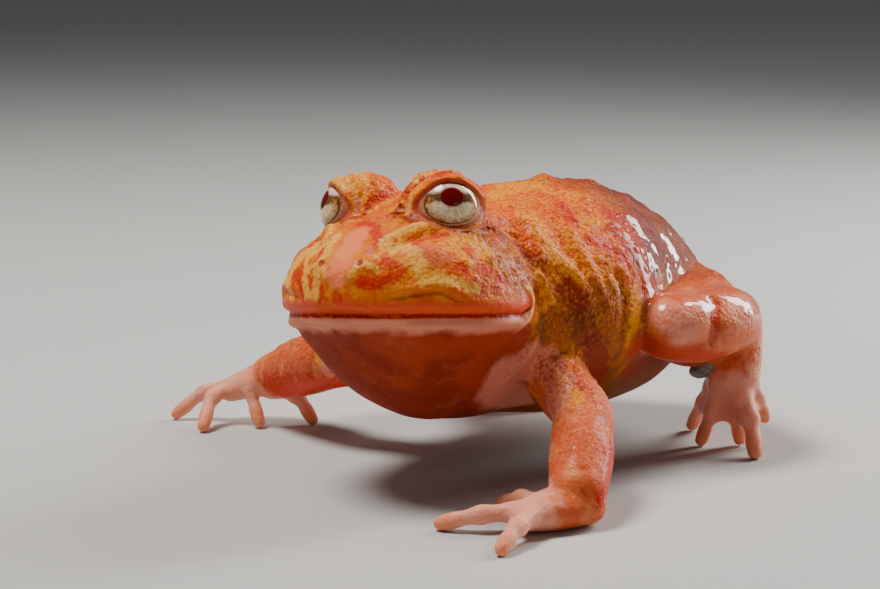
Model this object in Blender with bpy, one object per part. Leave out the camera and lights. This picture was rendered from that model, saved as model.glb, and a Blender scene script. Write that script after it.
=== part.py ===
"""A strawberry horned frog at rest, life size, as a still museum model.

The whole animal is heaped up from plain closed forms (a lofted head and body, tubes for the limbs
and digits), fused into one skin, shaped as a modeller shapes clay, and then parted into the named
pieces of the body, with thin flat cuts where a limb is slender and with closed cells where it lies
against the trunk. The eyes and the spades are pieces of their own, set in carved sockets.

Everything is worked out in millimetres. +Z is up, the frog faces -Y and its left side is +X.
The finished pieces are moved so that the origin is under the middle of the frog, on the floor,
and are scaled to metres.
"""
import math

import bmesh
import bpy
import numpy as np
from mathutils import Matrix, Vector
from mathutils.bvhtree import BVHTree

METRES = 0.001

# The head, measured from the tip of the snout at the level of the mouth: back, left and up
SNOUT_TIP = Vector((3.0, -27.6, 23.5))
HEAD_YAW, HEAD_PITCH, HEAD_ROLL = 8.5, 8.0, 4.6
MOUTH_RADIUS = 15.0
MOUTH_LENGTH = 17.6
EYE_PLACE = (13.0, 6.5, 11.8)
EYE_RADIUS = 3.9
EYE_TURN, EYE_LIFT = 43.0, 7.0
EYE_OPENING = (3.7, 2.35)
LID_HEIGHT = 0.6
TURRET_RADII = (5.4, 5.3, 5.1)
NOSTRIL_PLACE = (2.9, 2.7, 6.4)

# Colours of the skin, the eyes and the spades, with their roughness
SKIN_COLOUR = ((0.62, 0.2, 0.07), 0.42)
COLOURS = {"eye": ((0.55, 0.4, 0.25), 0.08), "spade": ((0.09, 0.08, 0.075), 0.45)}

# The surface
VOXEL = 0.5
TRIANGLES = 11000
GAP = 0.3
DIGIT_TIP = 0.95
EYE_SIDES, SPADE_SIDES = 20, 16


def head_frame():
    """The head's axes: left, back and up, from its yaw, pitch and roll."""
    return (Matrix.Rotation(math.radians(HEAD_YAW), 3, "Z")
            @ Matrix.Rotation(-math.radians(HEAD_PITCH), 3, "X")
            @ Matrix.Rotation(-math.radians(HEAD_ROLL), 3, "Y"))


HEAD = head_frame()


def on_head(back, left, up):
    return SNOUT_TIP + HEAD @ Vector((left, back, up))


def spline(points, per_span):
    """Points on a smooth curve through rows of numbers, which may carry a radius too."""
    rows = [np.array(p, dtype=float) for p in points]
    rows = [2 * rows[0] - rows[1]] + rows + [2 * rows[-1] - rows[-2]]
    smooth = []
    for a, b, c, d in zip(rows, rows[1:], rows[2:], rows[3:]):
        for step in range(per_span):
            t = step / per_span
            smooth.append(0.5 * (2 * b + (c - a) * t + (2 * a - 5 * b + 4 * c - d) * t * t
                                 + (3 * b - a - 3 * c + d) * t ** 3))
    smooth.append(rows[-2])
    return smooth


class Clay:
    """Closed forms heaped together before they are fused."""

    def __init__(self):
        self.points = []
        self.faces = []

    def loft(self, rings):
        """A closed form through rings of points, each end closed by a fan."""
        first, sides = len(self.points), len(rings[0])
        for ring in rings:
            self.points.extend(Vector(p) for p in ring)
        for row in range(len(rings) - 1):
            for k in range(sides):
                a = first + row * sides + k
                b = first + row * sides + (k + 1) % sides
                self.faces.append((a, b, b + sides, a + sides))
        for row, turn in ((0, 1), (len(rings) - 1, -1)):
            start = first + row * sides
            middle = len(self.points)
            self.points.append(sum((self.points[start + k] for k in range(sides)), Vector()) / sides)
            for k in range(sides):
                edge = (start + (k + 1) % sides, start + k)
                self.faces.append((middle, *edge[::turn]))

    def tube(self, path, flat=1.0, up=(0, 0, 1), sides=14):
        """A round-ended tube along rows of x, y, z and radius; flat squashes it along up."""
        rows = spline(path, 5)
        centres = [Vector(r[:3]) for r in rows]
        radii = [float(r[3]) for r in rows]
        ahead = (centres[1] - centres[0]).normalized()
        behind = (centres[-1] - centres[-2]).normalized()
        steps = (1.0, 0.92, 0.72, 0.4, 0.12)
        starts = [(centres[0] - ahead * radii[0] * t * flat, radii[0] * math.sqrt(1.001 - t * t))
                  for t in steps]
        ends = [(centres[-1] + behind * radii[-1] * t * flat, radii[-1] * math.sqrt(1.001 - t * t))
                for t in reversed(steps)]
        spots = starts + list(zip(centres, radii)) + ends
        rings = []
        for k, (centre, radius) in enumerate(spots):
            before = spots[max(k - 1, 0)][0]
            after = spots[min(k + 1, len(spots) - 1)][0]
            along = (after - before).normalized()
            side = along.cross(Vector(up)).normalized()
            top = side.cross(along).normalized()
            rings.append([centre + side * radius * math.cos(t) + top * radius * flat * math.sin(t)
                          for t in (math.tau * j / sides for j in range(sides))])
        self.loft(rings)

    def ball(self, centre, radii, turn=Matrix.Identity(3), sides=20):
        """An ellipsoid, with its radii along the columns of turn."""
        rings = []
        for row in range(1, sides // 2):
            lift = -math.pi / 2 + math.pi * row / (sides // 2)
            rings.append([Vector(centre) + turn @ Vector((radii[0] * math.cos(lift) * math.cos(t),
                                                          radii[1] * math.cos(lift) * math.sin(t),
                                                          radii[2] * math.sin(lift)))
                          for t in (math.tau * k / sides for k in range(sides))])
        self.loft(rings)

    def web(self, one, other, reach, thickness):
        """Skin between two digits, as close bars from one to the other."""
        one, other = spline(one, 6), spline(other, 6)
        count = int(reach * (len(one) - 1))
        for step in range(1, count + 1):
            a, b = Vector(one[step][:3]), Vector(other[step][:3])
            middle = (a + b) / 2 + (Vector(one[0][:3]) - a) * 0.12
            self.tube([(*a, thickness), (*middle, thickness), (*b, thickness)], sides=8)

    def fuse(self, name, voxel):
        """One closed skin round all the forms, as an object."""
        mesh = bpy.data.meshes.new(name)
        mesh.from_pydata([tuple(p) for p in self.points], [], self.faces)
        body = bpy.data.objects.new(name, mesh)
        bpy.context.scene.collection.objects.link(body)
        remesh = body.modifiers.new("Fuse", "REMESH")
        remesh.mode = "VOXEL"
        remesh.voxel_size = voxel
        return apply_modifiers(body)


def apply_modifiers(body):
    """Replaces an object's mesh by what its modifiers make of it."""
    graph = bpy.context.evaluated_depsgraph_get()
    shaped = bpy.data.meshes.new_from_object(body.evaluated_get(graph), depsgraph=graph)
    body.modifiers.clear()
    body.data = shaped
    return body


def arch(half_width, top, bottom, squareness, sides=36):
    """Sideways and upward numbers of one ring, rounder or squarer by its squareness."""
    ring = []
    for k in range(sides):
        t = math.tau * k / sides
        c, s = math.cos(t), math.sin(t)
        upper, lower = squareness
        power = 2 / (upper if s > 0 else lower)
        reach = top if s > 0 else -bottom
        ring.append((half_width * math.copysign(abs(c) ** power, c),
                     reach * math.copysign(abs(s) ** power, s)))
    return ring


def mouth_half_width(back, radius):
    """The plan of a jaw is half a circle, which runs on straight to its corners."""
    short = radius - min(back, radius)
    return math.sqrt(radius ** 2 - short ** 2)


# Upper head rings: distance behind the snout, height above the mouth, squareness
FACE_RINGS = ((0.25, 4.4, 2.8), (1.0, 5.8, 2.7), (2.5, 7.1, 2.6), (5.0, 8.9, 2.4), (8.0, 11.0, 2.1),
              (11.5, 13.1, 1.9), (15.0, 14.0, 1.9), (19.0, 14.2, 1.9))
FACE_UNDER = -1.9

# Lower jaw and throat rings: distance behind the snout and depth under the mouth
JAW_RINGS = ((2.1, -1.8), (3.0, -2.7), (5.1, -4.1), (7.6, -6.2), (10.8, -9.2), (14.5, -11.8),
             (19.0, -13.2))
JAW_RADIUS, JAW_OVER = 13.3, 1.2

# The line of the mouth above the head's own level, how far the lips stand in under the
# overhanging snout, and how high that reaches
MOUTH_UP = -0.4
LIP_INSET, LIP_HEIGHT = 0.9, 2.2

# Neck rings behind the jaws: distance behind the snout, half width, top and bottom
NECK_RINGS = ((17.0, 13.6, 12.4, -11.5), (19.5, 14.6, 13.2, -12.8), (24.0, 14.6, 13.4, -13.2),
              (29.0, 13.8, 12.8, -12.6))

# Body rings: y, half width, bottom, top, the height of its widest part, and its squareness above
BODY_RINGS = ((-12, 9.5, 10, 30.4, 20, 2.2), (-7, 13.4, 8.4, 32.4, 20, 2.2),
              (0, 16.6, 7.0, 33.2, 19.5, 2.2), (7, 18.4, 5.8, 33.7, 19.5, 2.2),
              (13, 17.4, 5.0, 34.3, 20, 2.2), (18, 16.0, 4.7, 34.2, 20, 2.1),
              (22, 15.0, 4.7, 33.3, 20, 2.0), (26, 14.0, 5.0, 32.0, 19.5, 2.0),
              (30, 12.8, 6.4, 30.2, 19, 2.0), (34, 11.2, 8.4, 27.4, 18, 2.1),
              (37.5, 8.8, 10.6, 23.8, 17, 2.2), (40, 5.6, 12.6, 20.0, 16.2, 2.2),
              (41, 3.0, 14.0, 18.0, 16, 2.2))
BODY_UNDER = 2.1

# The cell that parts the trunk from its limbs: the body rings swollen, and run on over the neck
CELL_SWELL = 0.6
CELL_NECK = ((-22, 19, 2, 40, 20, 2.2), (-9, 18, 3, 38, 20, 2.2))

# Limbs: x, y, z and radius along each
ARM_LEFT = ((11.5, -0.5, 14.5, 4.4), (15.4, -2.2, 12.2, 3.7), (19.9, -4.3, 9.9, 3.5),
            (23.2, -8.8, 7.1, 3.75), (26.2, -13.4, 4.0, 3.4))
PALM_LEFT = ((26.6, -13.2, 2.3, 3.4), (25.2, -17.4, 2.2, 3.2), (23.8, -20.4, 1.9, 2.4))
FINGERS_LEFT = (((24.4, -14.6, 2.4, 1.3), (21.0, -12.2, 1.9, 1.05), (17.6, -9.8, 0.8, DIGIT_TIP)),
                ((23.8, -17.2, 2.5, 1.3), (20.0, -15.8, 2.4, 1.0), (16.0, -14.5, 0.8, DIGIT_TIP)),
                ((23.8, -19.4, 2.3, 1.3), (20.0, -23.0, 2.0, 1.05), (16.0, -25.2, 0.8, DIGIT_TIP)),
                ((25.2, -20.0, 2.2, 1.4), (26.6, -24.8, 2.1, 1.1), (27.6, -28.8, 0.8, DIGIT_TIP)))
ARM_RIGHT = ((-11.5, -0.5, 14.0, 4.8), (-17.0, -1.8, 12.6, 4.3), (-22.4, -2.4, 11.0, 3.9),
             (-29.0, -0.5, 8.9, 3.9), (-36.0, 1.0, 6.5, 3.2))
PALM_RIGHT = ((-36.4, 0.9, 6.2, 3.2), (-39.0, -0.2, 5.5, 3.0), (-41.4, -1.8, 4.4, 2.3))
FINGERS_RIGHT = (((-37.2, 1.0, 5.0, 1.4), (-33.4, 2.4, 3.9, 1.1), (-31.2, 3.2, 0.8, DIGIT_TIP)),
                 ((-38.8, -0.9, 5.0, 1.4), (-37.6, -1.9, 4.6, 1.05), (-35.6, -2.4, 0.8, DIGIT_TIP)),
                 ((-40.6, -1.6, 4.6, 1.3), (-41.6, -5.0, 3.9, 1.1), (-39.8, -8.6, 0.8, DIGIT_TIP)),
                 ((-41.0, -1.4, 4.6, 1.4), (-45.0, -3.2, 3.8, 1.1), (-48.2, -5.6, 0.8, DIGIT_TIP)))

# The hind leg, given for the left side and mirrored for the right
THIGH = ((6.5, 33.0, 15.4, 5.8), (12.0, 30.4, 16.4, 6.1), (15.8, 24.0, 16.4, 5.8),
         (18.4, 15.6, 17.4, 4.3))
SHANK = ((19.1, 14.2, 17.6, 4.2), (20.7, 18.8, 17.2, 4.4), (20.6, 25.0, 17.1, 4.3),
         (18.6, 30.8, 15.2, 3.2))
TARSUS = ((18.5, 31.0, 15.2, 3.2), (19.2, 29.8, 12.0, 3.3), (19.6, 28.2, 8.8, 3.6))
TOES = (((17.2, 28.2, 8.6, 1.5), (13.6, 30.4, 4.6, 1.1), (10.8, 32.0, 0.8, DIGIT_TIP)),
        ((18.2, 27.6, 8.4, 1.6), (17.3, 26.8, 4.4, 1.2), (16.6, 25.6, 0.8, DIGIT_TIP)),
        ((19.6, 28.0, 8.2, 1.6), (20.0, 28.4, 4.2, 1.2), (20.4, 28.8, 0.8, DIGIT_TIP)),
        ((20.8, 27.4, 8.2, 1.6), (23.6, 26.2, 4.4, 1.35), (25.7, 24.2, 0.8, 1.1)),
        ((21.2, 28.6, 8.8, 1.5), (22.2, 30.0, 6.4, 1.2), (22.6, 31.2, 3.6, DIGIT_TIP)))
WEB_REACH, WEB_HALF = 0.6, 0.55

# The horny spade on the inner edge of each hind foot
SPADE_PLACE, SPADE_RADII = (16.2, 26.2, 10.0), (2.1, 1.0, 1.2)
SPADE_TURN = math.radians(18)

# Flat cuts between the parts: place, facing, half width, half height
NECK_BACK, NECK_SIZE = 20.0, (16.8, 21.0)
JOINT_CUTS = (((19.9, -4.3, 9.9), (0.62, -0.5, -0.6), 5.6, 5.6),
              ((25.4, -11.9, 4.5), (0.0, -0.6, -0.8), 6.2, 6.0),
              ((-22.4, -2.4, 11.0), (-1.0, 0.1, -0.3), 6.0, 6.0),
              ((-35.4, 1.0, 6.6), (-0.6, 0.1, -0.79), 5.0, 5.6))
ANKLE_CUT = ((18.4, 29.4, 14.0), (-0.11, 0.55, -0.83), 8.0, 7.6)

# The cell round the left shank and foot: x and z of its inner edge, from below, and the y of its
# two ends with the x of its upright wall there
LEG_EDGE = ((9.0, -2.0), (9.0, 3.0), (12.5, 7.5), (15.2, 8.6))
LEG_SHELF, LEG_TOP, LEG_OUT = 10.5, 24.5, 36.0
LEG_ENDS = ((7.0, 21.2), (45.0, 13.3))

# A place inside each part, to tell the pieces apart once they are cut
PART_SPOTS = {"head": (3, -18, 28), "torso": (0, 12, 20),
              "upper_arm_left": (17.5, -3.2, 11), "forearm_left": (23.2, -8.8, 7.1),
              "hand_left": (24.8, -17.6, 2.2), "upper_arm_right": (-19.4, -2.1, 11.8),
              "forearm_right": (-29, -0.5, 8.9), "hand_right": (-39.6, -0.5, 5.2)}
LEG_SPOTS = {"thigh": (16.6, 24, 15.0), "shank": (20.8, 19, 16), "foot": (19.6, 28.2, 8.8)}


def mirrored(rows):
    return tuple((-row[0], *row[1:]) for row in rows)


def heap_head(clay):
    clay.loft([[on_head(back, x, z)
                for x, z in arch(mouth_half_width(back, MOUTH_RADIUS), top, FACE_UNDER, (square, 3))]
               for back, top, square in spline(FACE_RINGS, 3)])
    inset = MOUTH_RADIUS - JAW_RADIUS
    clay.loft([[on_head(back, x, z)
                for x, z in arch(mouth_half_width(back - inset, JAW_RADIUS), JAW_OVER, depth, (3, 2))]
               for back, depth in spline(JAW_RINGS, 3)])
    clay.loft([[on_head(back, x, z) for x, z in arch(wide, top, bottom, (2.0, 2.1))]
               for back, wide, top, bottom in spline(NECK_RINGS, 2)])
    back, left, up = EYE_PLACE
    for side in (1, -1):
        clay.ball(on_head(back + 0.4, side * (left - 1.0), up - 0.5), TURRET_RADII, HEAD)


def body_ring(row, swell):
    """One ring of the body, swollen all round by a little."""
    y, wide, bottom, top, middle, square = row
    ring = arch(wide + swell, top - middle + swell, bottom - middle - swell, (square, BODY_UNDER))
    return [Vector((x, y, middle + z)) for x, z in ring]


def heap_body(clay):
    clay.loft([body_ring(row, 0.0) for row in spline(BODY_RINGS, 3)])


def heap_forelimb(clay, arm, palm, fingers):
    clay.tube(arm)
    clay.tube(palm, flat=0.72)
    for finger in fingers:
        clay.tube(finger, sides=10)


def heap_hind_limb(clay, mirror):
    """Thigh, shank, tarsus and toes of the left side, or of the right if mirror is set."""
    turn = mirrored if mirror else tuple
    clay.tube(turn(THIGH))
    clay.tube(turn(SHANK))
    clay.tube(turn(TARSUS), flat=0.8, up=(-0.3 if mirror else 0.3, -1, 0.6))
    for toe in TOES:
        clay.tube(turn(toe), sides=10)
    for one, other in zip(TOES, TOES[1:]):
        clay.web(turn(one), turn(other), WEB_REACH, WEB_HALF)


def heap_frog():
    """The whole animal in clay, fused into one skin."""
    clay = Clay()
    heap_head(clay)
    heap_body(clay)
    heap_forelimb(clay, ARM_LEFT, PALM_LEFT, FINGERS_LEFT)
    heap_forelimb(clay, ARM_RIGHT, PALM_RIGHT, FINGERS_RIGHT)
    heap_hind_limb(clay, mirror=False)
    heap_hind_limb(clay, mirror=True)
    return clay.fuse("frog", VOXEL)


class Skin:
    """The fused skin's points as an array, with the strokes that shape them."""

    def __init__(self, body):
        self.body = body
        mesh = body.data
        self.points = np.empty(len(mesh.vertices) * 3)
        mesh.vertices.foreach_get("co", self.points)
        self.points = self.points.reshape(-1, 3)
        edges = np.empty(len(mesh.edges) * 2, dtype=np.int64)
        mesh.edges.foreach_get("vertices", edges)
        self.edges = edges.reshape(-1, 2)
        self.degree = np.bincount(self.edges.ravel(), minlength=len(self.points))

    def neighbours(self, values):
        """The mean of each point's neighbours."""
        one, other = self.edges.T
        total = np.empty_like(values)
        for axis in range(values.shape[1]):
            column = values[:, axis]
            total[:, axis] = (np.bincount(one, column[other], len(values))
                              + np.bincount(other, column[one], len(values)))
        return total / self.degree[:, None]

    def smooth(self, rounds, weight=1.0, shrink=0.53):
        """Evens the surface, each second pass swelling back what the first one shrinks."""
        weight = np.broadcast_to(np.asarray(weight, dtype=float), len(self.points))[:, None]
        for _ in range(rounds):
            for step in (0.5, -shrink):
                self.points += step * weight * (self.neighbours(self.points) - self.points)

    def relax(self, rounds, weight):
        """Plain smoothing, which fills creases and melts bumps."""
        for _ in range(rounds):
            self.points += 0.5 * weight[:, None] * (self.neighbours(self.points) - self.points)

    def normals(self):
        self.store()
        normals = np.empty(len(self.points) * 3)
        self.body.data.vertices.foreach_get("normal", normals)
        return normals.reshape(-1, 3)

    def store(self):
        self.body.data.vertices.foreach_set("co", self.points.ravel())
        self.body.data.update()

    def near(self, path, closed=False):
        """Each point's distance to a path, and how far along the path its foot lies, 0 to 1."""
        path = np.array([tuple(p) for p in path], dtype=float)
        if closed:
            path = np.vstack([path, path[:1]])
        best = np.full(len(self.points), 1e9)
        along = np.zeros(len(self.points))
        low, high = path.min(0) - 4.0, path.max(0) + 4.0
        close = np.where(np.all((self.points > low) & (self.points < high), axis=1))[0]
        spots = self.points[close]
        spans = len(path) - 1
        for k in range(spans):
            a, ab = path[k], path[k + 1] - path[k]
            t = np.clip((spots - a) @ ab / max(float(ab @ ab), 1e-9), 0, 1)
            far = np.linalg.norm(spots - (a + t[:, None] * ab), axis=1)
            better = far < best[close]
            best[close[better]] = far[better]
            along[close[better]] = (k + t[better]) / spans
        return best, along

    def stroke(self, path, width, height, closed=False, fade=0.12):
        """Raises a ridge along a path, or a groove if height is negative."""
        far, along = self.near(path, closed)
        swell = height * np.exp(-(far / width) ** 2)
        if not closed and fade:
            swell *= np.clip(np.minimum(along, 1 - along) / fade, 0.0, 1.0) ** 0.5
        self.points += self.normals() * swell[:, None]

    def dab(self, centre, width, height):
        """Raises a bump round one place, or a pit if height is negative."""
        far = np.linalg.norm(self.points - np.array(centre), axis=1)
        self.points += self.normals() * (height * np.exp(-(far / width) ** 2))[:, None]

    def on_surface(self, path):
        """The path's points moved onto the skin."""
        self.store()
        tree = BVHTree.FromObject(self.body, bpy.context.evaluated_depsgraph_get())
        return [tree.find_nearest(Vector(p))[0] for p in path]


def bell(values, centre, width):
    return np.exp(-((values - centre) / width) ** 2)


def mouth_path(up=0.0, out=0.0, corner=MOUTH_LENGTH):
    """The line of the mouth from the left corner round the snout to the right corner."""
    path = []
    up += MOUTH_UP
    for k in range(-24, 25):
        swing = math.radians(90) * k / 24
        path.append(on_head(MOUTH_RADIUS - (MOUTH_RADIUS + out) * math.cos(swing),
                            -(MOUTH_RADIUS + out) * math.sin(swing), up))
    left = on_head(corner, MOUTH_RADIUS + out, up - 0.2)
    right = on_head(corner, -MOUTH_RADIUS - out, up - 0.2)
    return [left] + path + [right]


def eye_frame(side):
    """The axes of one eye: across, up its face, and out along its gaze."""
    turn, lift = math.radians(EYE_TURN), math.radians(EYE_LIFT)
    gaze = HEAD @ Vector((side * math.sin(turn) * math.cos(lift),
                          -math.cos(turn) * math.cos(lift), math.sin(lift)))
    across = gaze.cross(HEAD @ Vector((0, 0, 1))).normalized()
    return Matrix((across, across.cross(gaze).normalized() * -1, gaze)).transposed()


def eye_centre(side):
    back, left, up = EYE_PLACE
    return on_head(back, side * left, up)


def shape_eye(skin, side):
    """Opens the lids: the skin inside the opening sinks under the eyeball, and its rim swells."""
    frame = np.array(eye_frame(side))
    centre = np.array(eye_centre(side))
    local = (skin.points - centre) @ frame
    far = np.linalg.norm(local, axis=1)
    wide, high = EYE_OPENING
    spread = np.sqrt((local[:, 0] / wide) ** 2 + (local[:, 1] / high) ** 2)
    front = (local[:, 2] > 0) & (far < EYE_RADIUS * 2.2)
    inside = front & (spread < 1.0)
    rim = np.where(front, bell(spread, 1.28, 0.3), 0.0)
    short = EYE_RADIUS + LID_HEIGHT - far
    lift = np.where(inside, 0.0, np.where(short > 0, short, rim * short))
    skin.points += (local / far[:, None] * lift[:, None]) @ frame.T
    local = (skin.points - centre) @ frame
    far = np.linalg.norm(local, axis=1)
    under = np.clip((1.12 - spread) / 0.24, 0.0, 1.0)
    sink = np.where(front, under * np.minimum(EYE_RADIUS - 0.7 - far, 0.0), 0.0)
    skin.points += (local / far[:, None] * sink[:, None]) @ frame.T


def tuck_lips(skin):
    """Draws the skin by the line of the mouth in, so that the snout overhangs it."""
    frame = np.array(HEAD)
    local = (skin.points - np.array(SNOUT_TIP)) @ frame
    left, back, up = local.T
    ahead = np.minimum(back - MOUTH_RADIUS, 0.0)
    far = np.hypot(left, ahead)
    pull = LIP_INSET * bell(up, MOUTH_UP, LIP_HEIGHT) * np.clip(-ahead / MOUTH_RADIUS, 0.0, 1.0)
    pull *= np.clip((far - 8.0) / 4.0, 0.0, 1.0)
    inward = np.stack([-left / np.maximum(far, 1e-6), -ahead / np.maximum(far, 1e-6),
                       np.zeros_like(far)], axis=1)
    skin.points += (inward * pull[:, None]) @ frame.T


def shape_head(skin):
    tuck_lips(skin)
    skin.stroke(skin.on_surface(mouth_path()), 0.55, -0.75, fade=0.02)
    skin.stroke(skin.on_surface(mouth_path(up=-1.5)), 0.9, 0.42, fade=0.06)
    skin.stroke(skin.on_surface(mouth_path(up=1.1)), 0.8, 0.3, fade=0.06)
    for side in (1, -1):
        back, left, up = NOSTRIL_PLACE
        rim = skin.on_surface([on_head(back, side * left, up)])[0]
        skin.dab(rim, 1.3, 0.35)
        skin.dab(rim, 0.55, -0.8)
        corner = [on_head(MOUTH_LENGTH - 1.5, side * 15.4, -2.2), on_head(19.0, side * 15.0, -1.0),
                  on_head(19.4, side * 14.8, 2.4)]
        skin.stroke(skin.on_surface(corner), 0.8, 0.45)
        brow = [on_head(4.6, side * 3.4, 8.2), on_head(8.0, side * 4.6, 11.4)]
        skin.stroke(skin.on_surface(brow), 1.2, 0.4)
        shape_eye(skin, side)


def level_feet(skin):
    """Whatever reaches below the floor is pressed flat onto it."""
    skin.points[:, 2] = np.maximum(skin.points[:, 2], 0.0)


def shape_skin(body):
    skin = Skin(body)
    digits = np.clip((skin.points[:, 2] - 4.0) / 5.0, 0.0, 1.0)
    skin.relax(4, 0.25 + 0.75 * digits)
    skin.smooth(4)
    shape_head(skin)
    skin.smooth(1)
    level_feet(skin)
    skin.store()


def thin_out(body, triangles):
    """Fewer, larger triangles where the surface is plain."""
    count = sum(len(face.vertices) - 2 for face in body.data.polygons)
    fewer = body.modifiers.new("Thin out", "DECIMATE")
    fewer.ratio = triangles / count
    fewer.use_collapse_triangulate = True
    apply_modifiers(body)


def slit(body, centre, normal, half_width, half_height):
    """One thin flat cut through the body, as wide as the gap that parted pieces keep."""
    along = Vector(normal).normalized()
    side = along.cross(Vector((0, 0, 1))).normalized()
    top = side.cross(along).normalized()
    rings = [[Vector(centre) + along * a * GAP / 2 + side * b * half_width + top * c * half_height
              for b, c in ((1, 1), (-1, 1), (-1, -1), (1, -1))] for a in (-1, 1)]
    clay = Clay()
    clay.loft(rings)
    combine(body, solid("slit", clay), "DIFFERENCE")


def solid(name, clay):
    """A clay form as an object of its own, not fused."""
    mesh = bpy.data.meshes.new(name)
    mesh.from_pydata([tuple(p) for p in clay.points], [], clay.faces)
    shape = bmesh.new()
    shape.from_mesh(mesh)
    bmesh.ops.recalc_face_normals(shape, faces=shape.faces)
    shape.to_mesh(mesh)
    shape.free()
    piece = bpy.data.objects.new(name, mesh)
    bpy.context.scene.collection.objects.link(piece)
    return piece


def combine(body, tool, operation):
    """Cuts the body by the tool, or keeps only what they share, and removes the tool."""
    cut = body.modifiers.new("Cut", "BOOLEAN")
    cut.operation = operation
    cut.solver = "EXACT"
    cut.object = tool
    apply_modifiers(body)
    bpy.data.objects.remove(tool)
    return body


def loose_pieces(body):
    """The body's separate closed surfaces, each as an object, and the body itself is removed."""
    shape = bmesh.new()
    shape.from_mesh(body.data)
    shape.verts.ensure_lookup_table()
    seen, groups = set(), []
    for start in shape.verts:
        if start in seen:
            continue
        group, front = {start}, [start]
        while front:
            for edge in front.pop().link_edges:
                fresh = {*edge.verts} - group
                group |= fresh
                front.extend(fresh)
        seen |= group
        groups.append(group)
    pieces = []
    for group in groups:
        number = {vert: k for k, vert in enumerate(sorted(group, key=lambda v: v.index))}
        faces = [[number[v] for v in face.verts] for face in shape.faces if face.verts[0] in group]
        mesh = bpy.data.meshes.new("piece")
        mesh.from_pydata([tuple(v.co) for v in number], [], faces)
        piece = bpy.data.objects.new("piece", mesh)
        bpy.context.scene.collection.objects.link(piece)
        pieces.append(piece)
    shape.free()
    bpy.data.objects.remove(body)
    return pieces


def largest(body):
    """The body's largest closed surface, without the scraps that a cut left."""
    pieces = sorted(loose_pieces(body), key=lambda piece: len(piece.data.polygons))
    for scrap in pieces[:-1]:
        bpy.data.objects.remove(scrap)
    return pieces[-1]


def holds(piece, spot):
    """Whether a place lies inside a closed piece: a ray out of it leaves by an odd count of walls."""
    tree = BVHTree.FromObject(piece, bpy.context.evaluated_depsgraph_get())
    ray, start, walls = Vector((0.12, 0.07, 1)).normalized(), Vector(spot), 0
    while True:
        wall = tree.ray_cast(start, ray)[0]
        if wall is None:
            return walls % 2 == 1
        walls += 1
        start = wall + ray * 0.001


def name_pieces(pieces, spots):
    """Names each piece by the place that it holds, and drops scraps that hold none."""
    named = {}
    for piece in pieces:
        held = [name for name, spot in spots.items() if name not in named and holds(piece, spot)]
        if held:
            piece.name = piece.data.name = held[0]
            named[held[0]] = piece
        else:
            bpy.data.objects.remove(piece)
    return named


def divide(body, make_cell):
    """What the body has inside a closed cell and what it has outside, with the gap between."""
    rest = bpy.data.objects.new("rest", body.data.copy())
    bpy.context.scene.collection.objects.link(rest)
    combine(body, make_cell(-GAP / 2), "INTERSECT")
    combine(rest, make_cell(GAP / 2), "DIFFERENCE")
    return loose_pieces(body), loose_pieces(rest)


def part_body(frog):
    """Parts the whole skin into the head, the trunk and each length of the limbs."""
    spots = dict(PART_SPOTS)
    for name, spot in LEG_SPOTS.items():
        spots[name + "_left"] = spot
        spots[name + "_right"] = mirrored((spot,))[0]

    def chosen(*names):
        return {name: spots[name] for name in names}

    slit(frog, on_head(NECK_BACK, 0, 0), HEAD @ Vector((0, 1, 0)), *NECK_SIZE)
    for cut in JOINT_CUTS:
        slit(frog, *cut)
    parts = name_pieces(loose_pieces(frog), chosen("head", "torso", "forearm_left", "hand_left",
                                                   "forearm_right", "hand_right"))
    for side, turn in (("left", tuple), ("right", mirrored)):
        leg, rest = divide(parts["torso"], lambda swell: leg_cell(turn, swell))
        parts.update(name_pieces(rest, chosen("torso")))
        whole = name_pieces(leg, chosen("shank_" + side))["shank_" + side]
        place, facing, wide, high = ANKLE_CUT
        slit(whole, turn((place,))[0], turn((facing,))[0], wide, high)
        parts.update(name_pieces(loose_pieces(whole), chosen("shank_" + side, "foot_" + side)))
    trunk, limbs = divide(parts["torso"], trunk_cell)
    parts.update(name_pieces(trunk, chosen("torso")))
    parts.update(name_pieces(limbs, chosen("upper_arm_left", "upper_arm_right", "thigh_left",
                                           "thigh_right")))
    return parts


def leg_cell(turn, swell):
    """The closed form that holds a shank and its foot, open to the side and below."""
    rings = []
    for y, wall in LEG_ENDS:
        inner = [(x - swell, z + swell) for x, z in LEG_EDGE + ((wall, LEG_SHELF),)]
        ring = inner + [(wall - swell, LEG_TOP), (LEG_OUT, LEG_TOP), (LEG_OUT, LEG_EDGE[0][1])]
        rings.append(turn([(x, y, z) for x, z in ring]))
    clay = Clay()
    clay.loft(rings)
    return solid("cell", clay)


def trunk_cell(swell):
    """The closed form that holds the trunk but not its limbs."""
    clay = Clay()
    rows = list(CELL_NECK) + [row for row in BODY_RINGS if row[0] > 0]
    tail = BODY_RINGS[-1]
    rows.append((tail[0] + 1.2, 2.0, *tail[2:]))
    clay.loft([body_ring(row, CELL_SWELL + swell) for row in rows])
    return solid("cell", clay)


def set_in(bodies, name, centre, radii, turn, sides):
    """A ball as a piece of its own, in a socket carved out of the bodies with the usual gap."""
    for body in bodies:
        clay = Clay()
        clay.ball(centre, [radius + GAP for radius in radii], turn, sides)
        combine(body, solid("socket", clay), "DIFFERENCE")
    clay = Clay()
    clay.ball(centre, radii, turn, sides)
    return solid(name, clay)


def finish(piece, colour, roughness):
    """Gives a piece its material and its smooth shading."""
    material = bpy.data.materials.new(piece.name)
    material.use_nodes = True
    shader = material.node_tree.nodes["Principled BSDF"]
    shader.inputs["Base Color"].default_value = (*colour, 1)
    shader.inputs["Roughness"].default_value = roughness
    shader.inputs["Metallic"].default_value = 0.0
    piece.data.materials.clear()
    piece.data.materials.append(material)
    piece.data.shade_smooth()


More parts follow.
